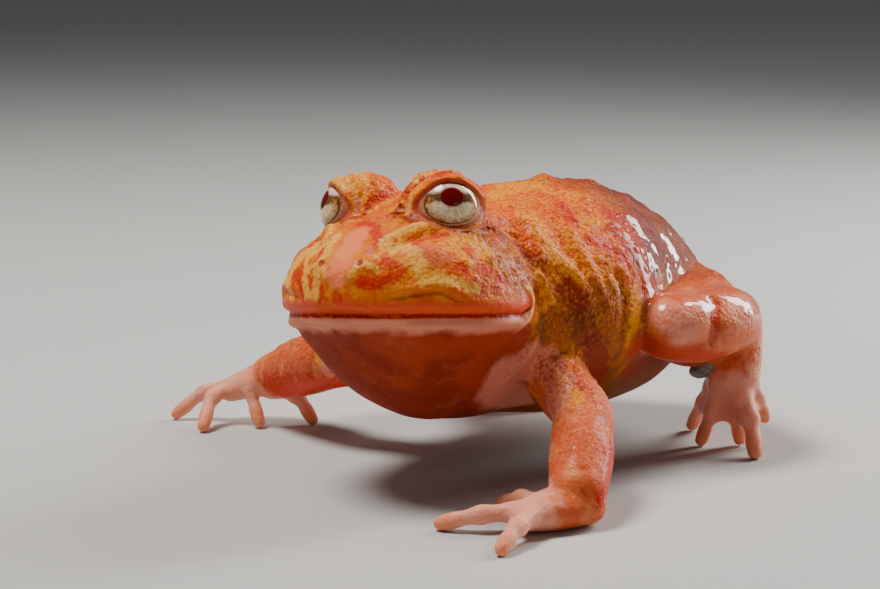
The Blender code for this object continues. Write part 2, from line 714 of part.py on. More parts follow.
def main():
    for old in list(bpy.data.objects):
        bpy.data.objects.remove(old)
    frog = heap_frog()
    shape_skin(frog)
    thin_out(frog, TRIANGLES)
    parts = part_body(frog)
    for side, word in ((1, "left"), (-1, "right")):
        eye, spade = "eye_" + word, "spade_" + word
        parts[eye] = set_in([parts["head"]], eye, eye_centre(side), [EYE_RADIUS] * 3,
                            eye_frame(side), EYE_SIDES)
        x, y, z = SPADE_PLACE
        parts[spade] = set_in([parts["foot_" + word], parts["thigh_" + word]], spade,
                              (side * x, y, z), SPADE_RADII,
                              Matrix.Rotation(side * SPADE_TURN, 3, "Y"), SPADE_SIDES)
    parts = {name: largest(part) for name, part in parts.items()}
    corners = np.array([tuple(v.co) for part in parts.values() for v in part.data.vertices])
    low, high = corners.min(0), corners.max(0)
    shift = Matrix.Translation((-(low[0] + high[0]) / 2, -(low[1] + high[1]) / 2, -low[2]))
    for name, part in parts.items():
        part.name = part.data.name = name
        part.data.transform(Matrix.Scale(METRES, 4) @ shift)
        colour, roughness = COLOURS.get(name.split("_")[0], SKIN_COLOUR)
        finish(part, colour, roughness)


main()
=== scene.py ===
# %% [markdown]
# A young horned frog of the strawberry colour, as in the photo: squat and wide-mouthed, raised on
# spread forelimbs with its hind legs folded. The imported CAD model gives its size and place.
# Everything below is worked out in millimetres in the modelling frame (+Z up, the frog faces -Y,
# its left side is +X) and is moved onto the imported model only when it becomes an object.

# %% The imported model
import math

import bmesh
import bpy
import numpy as np
from mathutils import Matrix, Vector, kdtree, noise
from mathutils.bvhtree import BVHTree


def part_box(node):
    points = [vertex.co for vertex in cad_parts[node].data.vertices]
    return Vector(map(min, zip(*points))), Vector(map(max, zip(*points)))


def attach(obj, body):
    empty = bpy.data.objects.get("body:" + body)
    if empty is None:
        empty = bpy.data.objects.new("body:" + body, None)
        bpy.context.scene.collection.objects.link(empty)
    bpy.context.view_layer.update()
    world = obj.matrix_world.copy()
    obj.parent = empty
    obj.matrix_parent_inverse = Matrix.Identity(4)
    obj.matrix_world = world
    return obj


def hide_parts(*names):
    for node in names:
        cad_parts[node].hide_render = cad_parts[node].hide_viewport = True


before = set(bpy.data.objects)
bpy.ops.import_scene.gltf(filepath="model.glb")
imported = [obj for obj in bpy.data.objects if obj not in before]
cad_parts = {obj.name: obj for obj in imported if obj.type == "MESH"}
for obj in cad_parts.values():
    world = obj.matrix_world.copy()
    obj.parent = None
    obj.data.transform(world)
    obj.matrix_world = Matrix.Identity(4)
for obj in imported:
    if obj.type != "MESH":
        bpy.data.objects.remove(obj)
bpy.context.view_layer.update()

# %% [markdown]
# A frog's head is one broad shovel of bone. Its own axes run back from the tip of the snout, to the
# left and up, because the animal looks a little to its left with its head raised and tilted.
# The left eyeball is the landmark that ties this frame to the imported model, since its place in both
# is exact.

# %% The head's frame and its landmarks
SNOUT_TIP = Vector((3.0, -27.6, 23.5))
HEAD_YAW, HEAD_PITCH, HEAD_ROLL = 8.5, 8.0, 4.6
HEAD = (Matrix.Rotation(math.radians(HEAD_YAW), 3, "Z")
        @ Matrix.Rotation(-math.radians(HEAD_PITCH), 3, "X")
        @ Matrix.Rotation(-math.radians(HEAD_ROLL), 3, "Y"))
MOUTH_RADIUS, MOUTH_LENGTH, MOUTH_UP = 15.0, 17.6, -0.4
EYE_PLACE, EYE_RADIUS = (13.0, 6.5, 11.8), 3.9
EYE_TURN, EYE_LIFT = 43.0, 7.0
EYE_OPENING, LID_HEIGHT = (3.7, 2.65), 0.45
NOSTRIL_RIM, NOSTRIL_HOLE = (1.3, 2.7, 5.7), (1.0, 2.6, 5.4)


def on_head(back, left, up):
    """A place in the head's own axes, as a point of the modelling frame."""
    return SNOUT_TIP + HEAD @ Vector((left, back, up))


def in_head(points):
    """Rows of points in the modelling frame, as the head's left, back and up numbers."""
    return ((points - np.array(SNOUT_TIP)) @ np.array(HEAD)).T


def eye_centre(side):
    """The middle of an eyeball; side is 1 for the left and -1 for the right."""
    back, left, up = EYE_PLACE
    return on_head(back, side * left, up)


low, high = (Vector(corner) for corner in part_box("eye_left"))
SHIFT = (low + high) / 2 - eye_centre(1) * 0.001


def placed(point):
    """A point of the modelling frame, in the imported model's metres."""
    return Vector(point) * 0.001 + SHIFT


print("shift in mm", [round(value * 1000, 3) for value in SHIFT])

# %% [markdown]
# The photo looks down a little on the frog's left front. The camera repeats that angle with a long
# lens, which is shifted so that one point of the frog falls on its own pixel of the photo. Angles
# are turned from the frog's front to its left and lifted from the floor, in degrees.

# %% The camera
PHOTO_WIDTH, PHOTO_HEIGHT, PIXELS_PER_MM = 880, 589, 8.3
TARGET, TARGET_PIXEL = (11.0, 0.0, 12.0), (545, 382)
CAMERA_TURN, CAMERA_LIFT, CAMERA_FAR = 38, 12, 260.0
VIEW_WIDTH = PHOTO_WIDTH / PIXELS_PER_MM
SENSOR_WIDTH = 36


def new_object(name, data):
    """An object in the scene round a mesh, a lens or a lamp."""
    made = bpy.data.objects.new(name, data)
    bpy.context.scene.collection.objects.link(made)
    return made


def face_frog(thing, aim, turn, lift, far):
    """Stands an object off from a point of the frog, some metres away, and turns it to that point."""
    turn, lift = math.radians(turn), math.radians(lift)
    away = Vector((math.sin(turn) * math.cos(lift), -math.cos(turn) * math.cos(lift), math.sin(lift)))
    thing.location = placed(aim) + away * far
    thing.rotation_euler = away.to_track_quat("Z", "Y").to_euler()


def add_camera():
    lens = bpy.data.cameras.new("camera")
    lens.sensor_width = SENSOR_WIDTH
    lens.lens = SENSOR_WIDTH * CAMERA_FAR / VIEW_WIDTH
    lens.shift_x = (PHOTO_WIDTH / 2 - TARGET_PIXEL[0]) / PHOTO_WIDTH
    lens.shift_y = (TARGET_PIXEL[1] - PHOTO_HEIGHT / 2) / PHOTO_WIDTH
    lens.clip_start = 0.01
    camera = new_object("camera", lens)
    face_frog(camera, TARGET, CAMERA_TURN, CAMERA_LIFT, CAMERA_FAR * 0.001)
    bpy.context.scene.camera = camera


add_camera()
print("view", round(VIEW_WIDTH, 1), "mm wide")

# %% [markdown]
# The stage is a sheet of pale paper that runs out of sight. A large window would light the wet skin
# evenly but hide its folds, so the main light is a small soft disk high over the frog's right
# shoulder. A weak one fills the near side, and a tall strip behind gives the rump and the knees
# their white glints. A light is given by its turn and lift in degrees, its distance and size in
# metres, its power, its colour and, for the strip, its height.

# %% Floor and lights
FLOOR_HALF, FLOOR_COLOUR, FLOOR_ROUGHNESS = 3.0, (0.52, 0.51, 0.495, 1), 0.7
SKY_COLOUR, SKY_STRENGTH = (0.8, 0.85, 0.92, 1), 0.13
LIGHTS_AIM = (0, 4, 18)
LIGHTS = (("key", -50, 68, 0.5, 0.2, 3.3, (1.0, 0.96, 0.91), None),
          ("fill", 75, 12, 0.7, 0.4, 0.2, (1.0, 0.95, 0.9), None),
          ("rim", 162, 26, 0.42, 0.1, 2.5, (1.0, 0.98, 0.95), 0.42))


def new_body(name, points, faces):
    """An object with a mesh of its own, from points and the faces between them."""
    mesh = bpy.data.meshes.new(name)
    mesh.from_pydata([tuple(point) for point in points], [], faces)
    return new_object(name, mesh)


def add_floor():
    half = FLOOR_HALF
    floor = new_body("floor", [(-half, -half, 0), (half, -half, 0), (half, half, 0), (-half, half, 0)],
                     [(0, 1, 2, 3)])
    paper = bpy.data.materials.new("floor")
    paper.use_nodes = True
    shader = paper.node_tree.nodes["Principled BSDF"]
    shader.inputs["Base Color"].default_value = FLOOR_COLOUR
    shader.inputs["Roughness"].default_value = FLOOR_ROUGHNESS
    floor.data.materials.append(paper)


def add_light(name, turn, lift, far, size, power, colour, tall):
    """A soft light that faces the frog, round or, if its height is given, a tall strip."""
    lamp = bpy.data.lights.new(name, "AREA")
    lamp.shape = "ELLIPSE" if tall else "DISK"
    lamp.size = size
    if tall:
        lamp.size_y = tall
    lamp.energy = power
    lamp.color = colour
    face_frog(new_object(name, lamp), LIGHTS_AIM, turn, lift, far)


def add_sky():
    """Faint light from all sides, so that no shadow is black."""
    world = bpy.data.worlds.new("studio")
    world.use_nodes = True
    sky = world.node_tree.nodes["Background"]
    sky.inputs["Color"].default_value = SKY_COLOUR
    sky.inputs["Strength"].default_value = SKY_STRENGTH
    bpy.context.scene.world = world


add_floor()
for light_row in LIGHTS:
    add_light(*light_row)
add_sky()

# %% [markdown]
# An animal's skin is one sheet over many soft forms, so a seam anywhere would show. A sculptor
# heaps clay over the forms and draws it together. Here closed forms are heaped in the same way:
# lofts for the head and trunk, tubes for limbs and digits, balls for the eye turrets.

# %% Clay
CAP_STEPS = (1.0, 0.96, 0.87, 0.72, 0.5, 0.25)
WEB_SAG = 0.12


def spline(points, per_span):
    """Points on a smooth curve through rows of numbers, which may carry a radius too."""
    rows = [np.array(p, dtype=float) for p in points]
    rows = [2 * rows[0] - rows[1]] + rows + [2 * rows[-1] - rows[-2]]
    smooth = []
    for a, b, c, d in zip(rows, rows[1:], rows[2:], rows[3:]):
        for step in range(per_span):
            t = step / per_span
            smooth.append(0.5 * (2 * b + (c - a) * t + (2 * a - 5 * b + 4 * c - d) * t * t
                                 + (3 * b - a - 3 * c + d) * t ** 3))
    smooth.append(rows[-2])
    return smooth


class Clay:
    """Closed forms heaped together before they are fused."""

    def __init__(self):
        self.points = []
        self.faces = []

    def loft(self, rings):
        """A closed form through rings of points, each end closed by a fan."""
        first, sides = len(self.points), len(rings[0])
        for ring in rings:
            self.points.extend(Vector(p) for p in ring)
        for row in range(len(rings) - 1):
            for k in range(sides):
                a = first + row * sides + k
                b = first + row * sides + (k + 1) % sides
                self.faces.append((a, b, b + sides, a + sides))
        for row, turn in ((0, 1), (len(rings) - 1, -1)):
            start = first + row * sides
            middle = len(self.points)
            self.points.append(sum((self.points[start + k] for k in range(sides)), Vector()) / sides)
            for k in range(sides):
                edge = (start + (k + 1) % sides, start + k)
                self.faces.append((middle, *edge[::turn]))

    def tube(self, path, flat=1.0, up=(0, 0, 1), sides=20):
        """A round-ended tube along rows of x, y, z and radius; flat squashes it along up."""
        rows = spline(path, 6)
        centres = [Vector(r[:3]) for r in rows]
        radii = [float(r[3]) for r in rows]
        ahead = (centres[1] - centres[0]).normalized()
        behind = (centres[-1] - centres[-2]).normalized()
        starts = [(centres[0] - ahead * radii[0] * t * flat, radii[0] * math.sqrt(1.001 - t * t))
                  for t in CAP_STEPS]
        ends = [(centres[-1] + behind * radii[-1] * t * flat, radii[-1] * math.sqrt(1.001 - t * t))
                for t in reversed(CAP_STEPS)]
        spots = starts + list(zip(centres, radii)) + ends
        rings = []
        for k, (centre, radius) in enumerate(spots):
            before = spots[max(k - 1, 0)][0]
            after = spots[min(k + 1, len(spots) - 1)][0]
            along = (after - before).normalized()
            side = along.cross(Vector(up)).normalized()
            top = side.cross(along).normalized()
            rings.append([centre + side * radius * math.cos(t) + top * radius * flat * math.sin(t)
                          for t in (math.tau * j / sides for j in range(sides))])
        self.loft(rings)

    def ball(self, centre, radii, turn=Matrix.Identity(3), sides=28):
        """An ellipsoid, with its radii along the columns of turn."""
        rings = []
        for row in range(1, sides // 2):
            lift = -math.pi / 2 + math.pi * row / (sides // 2)
            rings.append([Vector(centre) + turn @ Vector((radii[0] * math.cos(lift) * math.cos(t),
                                                          radii[1] * math.cos(lift) * math.sin(t),
                                                          radii[2] * math.sin(lift)))
                          for t in (math.tau * k / sides for k in range(sides))])
        self.loft(rings)

    def web(self, one, other, reach, thickness):
        """Skin between two digits, as close bars from one to the other."""
        one, other = spline(one, 10), spline(other, 10)
        for step in range(1, int(reach * (len(one) - 1)) + 1):
            a, b = Vector(one[step][:3]), Vector(other[step][:3])
            middle = (a + b) / 2 + (Vector(one[0][:3]) - a) * WEB_SAG
            self.tube([(*a, thickness), (*middle, thickness), (*b, thickness)], sides=8)

    def fuse(self, name, voxel):
        """One closed skin round all the forms, as an object."""
        body = new_body(name, self.points, self.faces)
        remesh = body.modifiers.new("Fuse", "REMESH")
        remesh.mode = "VOXEL"
        remesh.voxel_size = voxel
        return apply_modifiers(body)


def apply_modifiers(body):
    """Replaces an object's mesh by what its modifiers make of it."""
    graph = bpy.context.evaluated_depsgraph_get()
    shaped = bpy.data.meshes.new_from_object(body.evaluated_get(graph), depsgraph=graph)
    body.modifiers.clear()
    body.data = shaped
    return body


def arch(half_width, top, bottom, squareness, sides=60):
    """Sideways and upward numbers of one ring, rounder or squarer by its squareness."""
    ring = []
    for k in range(sides):
        t = math.tau * k / sides
        c, s = math.cos(t), math.sin(t)
        upper, lower = squareness
        power = 2 / (upper if s > 0 else lower)
        reach = top if s > 0 else -bottom
        ring.append((half_width * math.copysign(abs(c) ** power, c),
                     reach * math.copysign(abs(s) ** power, s)))
    return ring


# %% [markdown]
# Seen from above, the jaws are half a circle that runs on straight to the corners of the mouth. The
# snout overhangs the lower jaw, the throat bulges like a bag, and a neck as wide as the head leads
# into a trunk that is widest behind the arms and falls steeply at the rump. Lofts through rings give
# all of these. A ring of the face is given by its place back, its top and its squareness, one of the
# jaw by its place and depth, one of the neck by its place, half width, top and bottom, and one of
# the trunk by its y, half width, bottom, top, middle height and squareness.

# %% The head and the trunk
FACE_RINGS = ((0.25, 4.4, 2.8), (1.0, 5.8, 2.7), (2.5, 7.1, 2.6), (5.0, 8.9, 2.4), (8.0, 11.0, 2.1),
              (11.5, 13.1, 1.9), (15.0, 14.0, 1.9), (19.0, 14.2, 1.9))
FACE_UNDER = -1.9
JAW_RINGS = ((2.1, -1.8), (3.0, -2.7), (5.1, -4.1), (7.6, -6.2), (10.8, -9.2), (14.5, -11.8),
             (19.0, -13.2))
JAW_RADIUS, JAW_OVER = 13.3, 1.2
NECK_RINGS = ((17.0, 13.6, 12.4, -11.5), (19.5, 14.6, 13.2, -12.8), (24.0, 14.6, 13.4, -13.2),
              (29.0, 13.8, 12.8, -12.6))
TURRET_RADII = (5.4, 5.3, 5.1)
BODY_RINGS = ((-12, 9.5, 10, 30.4, 20, 2.2), (-7, 13.4, 8.4, 32.4, 20, 2.2),
              (0, 16.6, 7.0, 33.2, 19.5, 2.2), (7, 18.4, 5.8, 33.7, 19.5, 2.2),
              (13, 17.4, 5.0, 34.3, 20, 2.2), (18, 16.0, 4.7, 34.2, 20, 2.1),
              (22, 15.0, 4.7, 33.3, 20, 2.0), (26, 14.0, 5.0, 32.0, 19.5, 2.0),
              (30, 12.8, 6.4, 30.2, 19, 2.0), (34, 11.2, 8.4, 27.4, 18, 2.1),
              (37.5, 8.8, 10.6, 23.8, 17, 2.2), (40, 5.6, 12.6, 20.0, 16.2, 2.2),
              (41, 3.0, 14.0, 18.0, 16, 2.2))
BODY_UNDER = 2.1


def jaw_half_width(back, radius):
    """Half the width of a round jaw, some way back from its front."""
    short = radius - min(back, radius)
    return math.sqrt(radius ** 2 - short ** 2)


def heap_head(clay):
    clay.loft([[on_head(back, x, z)
                for x, z in arch(jaw_half_width(back, MOUTH_RADIUS), top, FACE_UNDER, (square, 3))]
               for back, top, square in spline(FACE_RINGS, 4)])
    inset = MOUTH_RADIUS - JAW_RADIUS
    clay.loft([[on_head(back, x, z)
                for x, z in arch(jaw_half_width(back - inset, JAW_RADIUS), JAW_OVER, depth, (3, 2))]
               for back, depth in spline(JAW_RINGS, 4)])
    clay.loft([[on_head(back, x, z) for x, z in arch(wide, top, bottom, (2.0, 2.1))]
               for back, wide, top, bottom in spline(NECK_RINGS, 3)])
    back, left, up = EYE_PLACE
    for side in (1, -1):
        clay.ball(on_head(back + 0.4, side * (left - 1.0), up - 0.5), TURRET_RADII, HEAD)


def heap_trunk(clay):
    rings = []
    for y, wide, bottom, top, middle, square in spline(BODY_RINGS, 4):
        ring = arch(wide, top - middle, bottom - middle, (square, BODY_UNDER))
        rings.append([Vector((x, y, middle + z)) for x, z in ring])
    clay.loft(rings)


# %% [markdown]
# The forelimbs are short and turned out. The left one stands forward with its fingers spread on the
# floor, and the right one reaches out sideways. The hind legs are folded, so that thigh and shank
# lie along each other with the knee forward, and the foot comes down from the heel with its five
# toes and their short webs. Each digit swells a little at its joints, as real ones do. A limb is a
# tube along a short path, whose points are x, y, z and radius.

# %% The limbs
DIGIT_TIP = 0.85
ARM_LEFT = ((11.5, -0.5, 14.5, 4.4), (15.4, -2.2, 12.2, 3.7), (19.9, -4.3, 9.9, 3.5),
            (23.2, -8.8, 7.1, 3.75), (26.2, -13.4, 4.0, 3.4))
PALM_LEFT = ((26.6, -13.2, 2.3, 3.4), (25.2, -17.4, 2.2, 3.2), (23.8, -20.4, 1.9, 2.4))
FINGERS_LEFT = (((24.4, -14.6, 2.4, 1.3), (21.0, -12.2, 1.9, 1.05), (17.6, -9.8, 0.8, DIGIT_TIP)),
                ((23.8, -17.2, 2.5, 1.3), (20.0, -15.8, 2.4, 1.0), (16.0, -14.5, 0.8, DIGIT_TIP)),
                ((23.8, -19.4, 2.3, 1.3), (20.0, -23.0, 2.0, 1.05), (16.0, -25.2, 0.8, DIGIT_TIP)),
                ((25.2, -20.0, 2.2, 1.4), (26.6, -24.8, 2.1, 1.1), (27.6, -28.8, 0.8, DIGIT_TIP)))
ARM_RIGHT = ((-11.5, -0.5, 14.0, 4.8), (-17.0, -1.8, 12.6, 4.3), (-22.4, -2.4, 11.0, 3.9),
             (-29.0, -0.5, 8.9, 3.9), (-36.0, 1.0, 6.5, 3.2))
PALM_RIGHT = ((-36.4, 0.9, 6.2, 3.2), (-39.0, -0.2, 5.5, 3.0), (-41.4, -1.8, 4.4, 2.3))
FINGERS_RIGHT = (((-37.2, 1.0, 5.0, 1.4), (-33.4, 2.4, 3.9, 1.1), (-31.2, 3.2, 0.8, DIGIT_TIP)),
                 ((-38.8, -0.9, 5.0, 1.4), (-37.6, -1.9, 4.6, 1.05), (-35.6, -2.4, 0.8, DIGIT_TIP)),
                 ((-40.6, -1.6, 4.6, 1.3), (-41.6, -5.0, 3.9, 1.1), (-39.8, -8.6, 0.8, DIGIT_TIP)),
                 ((-41.0, -1.4, 4.6, 1.4), (-45.0, -3.2, 3.8, 1.1), (-48.2, -5.6, 0.8, DIGIT_TIP)))
THIGH = ((6.5, 33.0, 15.4, 5.8), (12.0, 30.4, 16.4, 6.1), (15.8, 24.0, 16.4, 5.8),
         (18.4, 15.6, 17.4, 4.3))
SHANK = ((19.1, 14.2, 17.6, 4.2), (20.7, 18.8, 17.2, 4.4), (20.6, 25.0, 17.1, 4.3),
         (18.6, 30.8, 15.2, 3.2))
TARSUS = ((18.5, 31.0, 15.2, 3.2), (19.2, 29.8, 12.0, 3.3), (19.6, 28.2, 8.8, 3.6))
TOES = (((17.2, 28.2, 8.6, 1.5), (13.6, 30.4, 4.6, 1.0), (10.8, 32.0, 0.8, DIGIT_TIP)),
        ((18.2, 27.6, 8.4, 1.6), (17.3, 26.8, 4.4, 1.05), (16.6, 25.6, 0.8, DIGIT_TIP)),
        ((19.6, 28.0, 8.2, 1.6), (20.0, 28.4, 4.2, 1.05), (20.4, 28.8, 0.8, DIGIT_TIP)),
        ((20.8, 27.4, 8.2, 1.6), (23.6, 26.2, 4.4, 1.25), (25.7, 24.2, 0.8, 1.0)),
        ((21.2, 28.6, 8.8, 1.5), (22.2, 30.0, 6.4, 1.05), (22.6, 31.2, 3.6, DIGIT_TIP)))
WEB_REACH, WEB_HALF = 0.72, 0.45
JOINT_SWELL = 0.13


def mirrored(rows):
    """The same path on the other side of the body."""
    return tuple((-row[0], *row[1:]) for row in rows)


DIGITS = FINGERS_LEFT + FINGERS_RIGHT + TOES + tuple(mirrored(toe) for toe in TOES)
HIND_LIMBS = (SHANK, mirrored(SHANK), TARSUS, mirrored(TARSUS))


def knuckled(digit, joints=3):
    """A digit's path with its radius swelling at the joints and narrowing between them."""
    rows = [tuple(row) for row in spline(digit, 6)]
    return [(x, y, z, radius * (1 - JOINT_SWELL * math.cos(math.tau * joints * k / (len(rows) - 1))
                                * math.sin(math.pi * k / (len(rows) - 1))))
            for k, (x, y, z, radius) in enumerate(rows)][::2]


def heap_forelimb(clay, arm, palm, fingers):
    clay.tube(arm)
    clay.tube(palm, flat=0.72)
    for finger in fingers:
        clay.tube(knuckled(finger), sides=14)


def heap_hind_limb(clay, mirror):
    """Thigh, shank, tarsus and toes of the left side, or of the right if mirror is set."""
    turn = mirrored if mirror else tuple
    clay.tube(turn(THIGH))
    clay.tube(turn(SHANK))
    clay.tube(turn(TARSUS), flat=0.8, up=(-0.3 if mirror else 0.3, -1, 0.6))
    for toe in TOES:
        clay.tube(knuckled(turn(toe)), sides=14)
    for one, other in zip(TOES, TOES[1:]):
        clay.web(turn(one), turn(other), WEB_REACH, WEB_HALF)


# %% [markdown]
# Sculpting needs soft strokes, as a thumb makes in clay, and a plain script has no brush. So the
# skin's points are held as an array, and each stroke moves the points near a path along their
# normals. The same class evens the surface and says how far each point is from a path.

# %% The skin as points
SWELL_BACK = 0.53


def unit(values):
    """Values held between 0 and 1."""
    return np.clip(values, 0.0, 1.0)


def between(values, none, full):
    """How far values have come on their way from none, which gives 0, to full, which gives 1."""
    return unit((values - none) / (full - none))


class Skin:
    """The fused skin's points as an array, with the strokes that shape them."""

    def __init__(self, body):
        self.body = body
        mesh = body.data
        self.points = np.empty(len(mesh.vertices) * 3)
        mesh.vertices.foreach_get("co", self.points)
        self.points = self.points.reshape(-1, 3)
        edges = np.empty(len(mesh.edges) * 2, dtype=np.int64)
        mesh.edges.foreach_get("vertices", edges)
        self.edges = edges.reshape(-1, 2)
        self.degree = np.bincount(self.edges.ravel(), minlength=len(self.points))
        self.refresh()

    def neighbours(self, values):
        """The mean of each point's neighbours."""
        one, other = self.edges.T
        total = np.empty_like(values)
        for axis in range(values.shape[1]):
            column = values[:, axis]
            total[:, axis] = (np.bincount(one, column[other], len(values))
                              + np.bincount(other, column[one], len(values)))
        return total / self.degree[:, None]

    def smooth(self, rounds):
        """Evens the surface, each second pass swelling back what the first one shrinks."""
        for _ in range(rounds):
            for step in (0.5, -SWELL_BACK):
                self.points += step * (self.neighbours(self.points) - self.points)

    def relax(self, rounds, weight):
        """Plain smoothing, which fills creases and melts bumps."""
        for _ in range(rounds):
            self.points += 0.5 * weight[:, None] * (self.neighbours(self.points) - self.points)

    def refresh(self):
        """Writes the points to the mesh, and takes the new normals and search tree from it."""
        mesh = self.body.data
        mesh.vertices.foreach_set("co", self.points.ravel())
        mesh.update()
        normals = np.empty(len(self.points) * 3)
        mesh.vertices.foreach_get("normal", normals)
        self.normals = normals.reshape(-1, 3)
        self.tree = BVHTree.FromObject(self.body, bpy.context.evaluated_depsgraph_get())

    def on_surface(self, path):
        """The path's points moved onto the skin."""
        return [self.tree.find_nearest(Vector(p))[0] for p in path]

    def near(self, path, reach=4.0):
        """Each point's distance to a path, and how far along it the nearest place is, 0 to 1."""
        path = np.array([tuple(p) for p in path], dtype=float)
        best = np.full(len(self.points), 1e9)
        along = np.zeros(len(self.points))
        low, high = path.min(0) - reach, path.max(0) + reach
        close = np.where(np.all((self.points > low) & (self.points < high), axis=1))[0]
        spots = self.points[close]
        spans = max(len(path) - 1, 1)
        for k in range(spans):
            a, ab = path[k], path[min(k + 1, len(path) - 1)] - path[k]
            t = unit((spots - a) @ ab / max(float(ab @ ab), 1e-9))
            far = np.linalg.norm(spots - (a + t[:, None] * ab), axis=1)
            better = far < best[close]
            best[close[better]] = far[better]
            along[close[better]] = (k + t[better]) / spans
        return best, along

    def stroke(self, path, width, height, fade=0.12):
        """Raises a ridge along a path on the skin, or a groove if height is negative."""
        far, along = self.near(self.on_surface(path))
        swell = height * np.exp(-(far / width) ** 2)
        if fade:
            swell *= unit(np.minimum(along, 1 - along) / fade) ** 0.5
        self.points += self.normals * swell[:, None]

    def dab(self, centre, width, height):
        """Raises a bump round one place, or a pit if height is negative."""
        far = np.linalg.norm(self.points - np.array(self.on_surface([centre])[0]), axis=1)
        self.points += self.normals * (height * np.exp(-(far / width) ** 2))[:, None]


# %% [markdown]
# The heaped forms become one closed skin on a fine grid, and it is then evened until the joins
# between forms read as flesh. The digits are evened least, because they would melt away.

# %% One skin
VOXEL = 0.3
EVENING_ROUNDS, DIGIT_EVENING, SMOOTH_ROUNDS = 12, 0.22, 6


def heap_frog():
    """The whole animal in clay, fused into one skin."""
    clay = Clay()
    heap_head(clay)
    heap_trunk(clay)
    heap_forelimb(clay, ARM_LEFT, PALM_LEFT, FINGERS_LEFT)
    heap_forelimb(clay, ARM_RIGHT, PALM_RIGHT, FINGERS_RIGHT)
    heap_hind_limb(clay, mirror=False)
    heap_hind_limb(clay, mirror=True)
    return clay.fuse("skin", VOXEL)


frog = heap_frog()
skin = Skin(frog)
above_digits = between(skin.points[:, 2], 4.0, 9.0)
skin.relax(EVENING_ROUNDS, DIGIT_EVENING + (1 - DIGIT_EVENING) * above_digits)
skin.smooth(SMOOTH_ROUNDS)
skin.refresh()
print("skin on the grid", len(skin.points), "points")

# %% [markdown]
# The lips stand in under the snout, and the closed mouth is one long deep line between a thin
# upper edge and a rounder lower roll. Cutting a slot would leave hard edges, so the skin's own
# points are moved: in along the line of the mouth, and out where the lower lip rolls. The strokes
# that shape it further are given by their place over the line, width, height, which is negative
# for a groove, and the share of their length over which they fade at the ends.

# %% The mouth
LIP_INSET, LIP_HEIGHT, LIP_ROLL, CORNER_RISE = 0.9, 2.2, 1.2, 1.1
LIP_LOW, LIP_EVENING, CORNER_EVENING, MOUTH_STEPS = -3.4, 90, 60, 30
LIP_STROKES = ((-0.1, 0.4, -0.5, 0.05), (-1.2, 0.8, 0.42, 0.08), (-3.2, 0.9, -0.3, 0.12),
               (1.2, 1.0, 0.3, 0.12))


def bell(values, centre, width):
    """1 at the centre, falling away to both sides."""
    return np.exp(-((values - centre) / width) ** 2)


def mouth_path(over=0.0):
    """A line over the mouth's own from corner to corner round the snout, rising at its ends."""
    up = over + MOUTH_UP
    ends = [(MOUTH_LENGTH + 0.5, up + CORNER_RISE), (MOUTH_LENGTH - 0.6, up + 0.45 * CORNER_RISE),
            (MOUTH_LENGTH - 1.6, up)]
    path = [on_head(back, MOUTH_RADIUS, height) for back, height in ends]
    for k in range(-MOUTH_STEPS, MOUTH_STEPS + 1):
        swing = math.radians(90) * k / MOUTH_STEPS
        path.append(on_head(MOUTH_RADIUS * (1 - math.cos(swing)), -MOUTH_RADIUS * math.sin(swing), up))
    return path + [on_head(back, -MOUTH_RADIUS, height) for back, height in reversed(ends)]


def tuck_lips(skin):
    """Draws the line of the mouth in under the snout, and rolls the lower lip out to meet it."""
    left, back, up = in_head(skin.points)
    ahead = np.minimum(back - MOUTH_RADIUS, 0.0)
    far = np.maximum(np.hypot(left, ahead), 1e-6)
    front = between(ahead, 0.0, -MOUTH_RADIUS)
    cheek = between(back, 21.0, 18.0)
    pull = LIP_INSET * bell(up, MOUTH_UP, LIP_HEIGHT) * front * between(far, 8.0, 12.0)
    roll = JAW_RADIUS + LIP_ROLL * (1 - 0.4 * front) * between(up, LIP_LOW, -1.5) - pull
    jaw = between(up, MOUTH_UP - 0.1, MOUTH_UP - 0.5) * ((up > LIP_LOW - 0.4) & (far > 12.2))
    gap = jaw * cheek * np.maximum(roll - far + pull, -1.5)
    inward = np.stack([-left / far, -ahead / far, np.zeros_like(far)], axis=1)
    skin.points += (inward * (pull - gap)[:, None]) @ np.array(HEAD).T
    skin.relax(LIP_EVENING, bell(up, MOUTH_UP - 2.8, 1.9) * (far > 9.0) * cheek)
    for side in (1, -1):
        corner = np.array(on_head(19.0, side * MOUTH_RADIUS, 0.0))
        apart = np.linalg.norm((skin.points - corner) / (1.0, 1.0, 1.3), axis=1)
        skin.relax(CORNER_EVENING, between(apart, 5.2, 1.2))


tuck_lips(skin)
skin.refresh()
for over, width, height, fade in LIP_STROKES:
    skin.stroke(mouth_path(over), width, height, fade)
print("mouth line", round(MOUTH_RADIUS * 2, 1), "mm wide")

# %% [markdown]
# A frog's eyelids are rings of skin round a bulging ball, which is made later. The skin inside each
# opening sinks under the eyeball, and the lids swell round it. Loose folds run round them, too
# small for clay, so they are drawn as short arcs. An arc has its spread (1 on the edge of the
# opening), its first and last angle in degrees, its width and its height.

# %% The eyelids
LID_FOLDS = ((1.36, 95, 200, 0.35, 0.28), (1.55, 50, 130, 0.3, -0.22), (1.8, 80, 170, 0.35, 0.2),
             (1.36, -165, -98, 0.26, -0.16), (1.4, -76, -15, 0.26, -0.16), (1.58, -140, -40, 0.35, 0.16),
             (1.8, -150, -70, 0.35, -0.12), (1.5, 170, 215, 0.25, -0.28), (1.45, -10, 25, 0.25, -0.24))
ARC_STEPS, ALMOND, UNEVEN, OUTSIDE = 12, 0.05, 0.025, 9.0


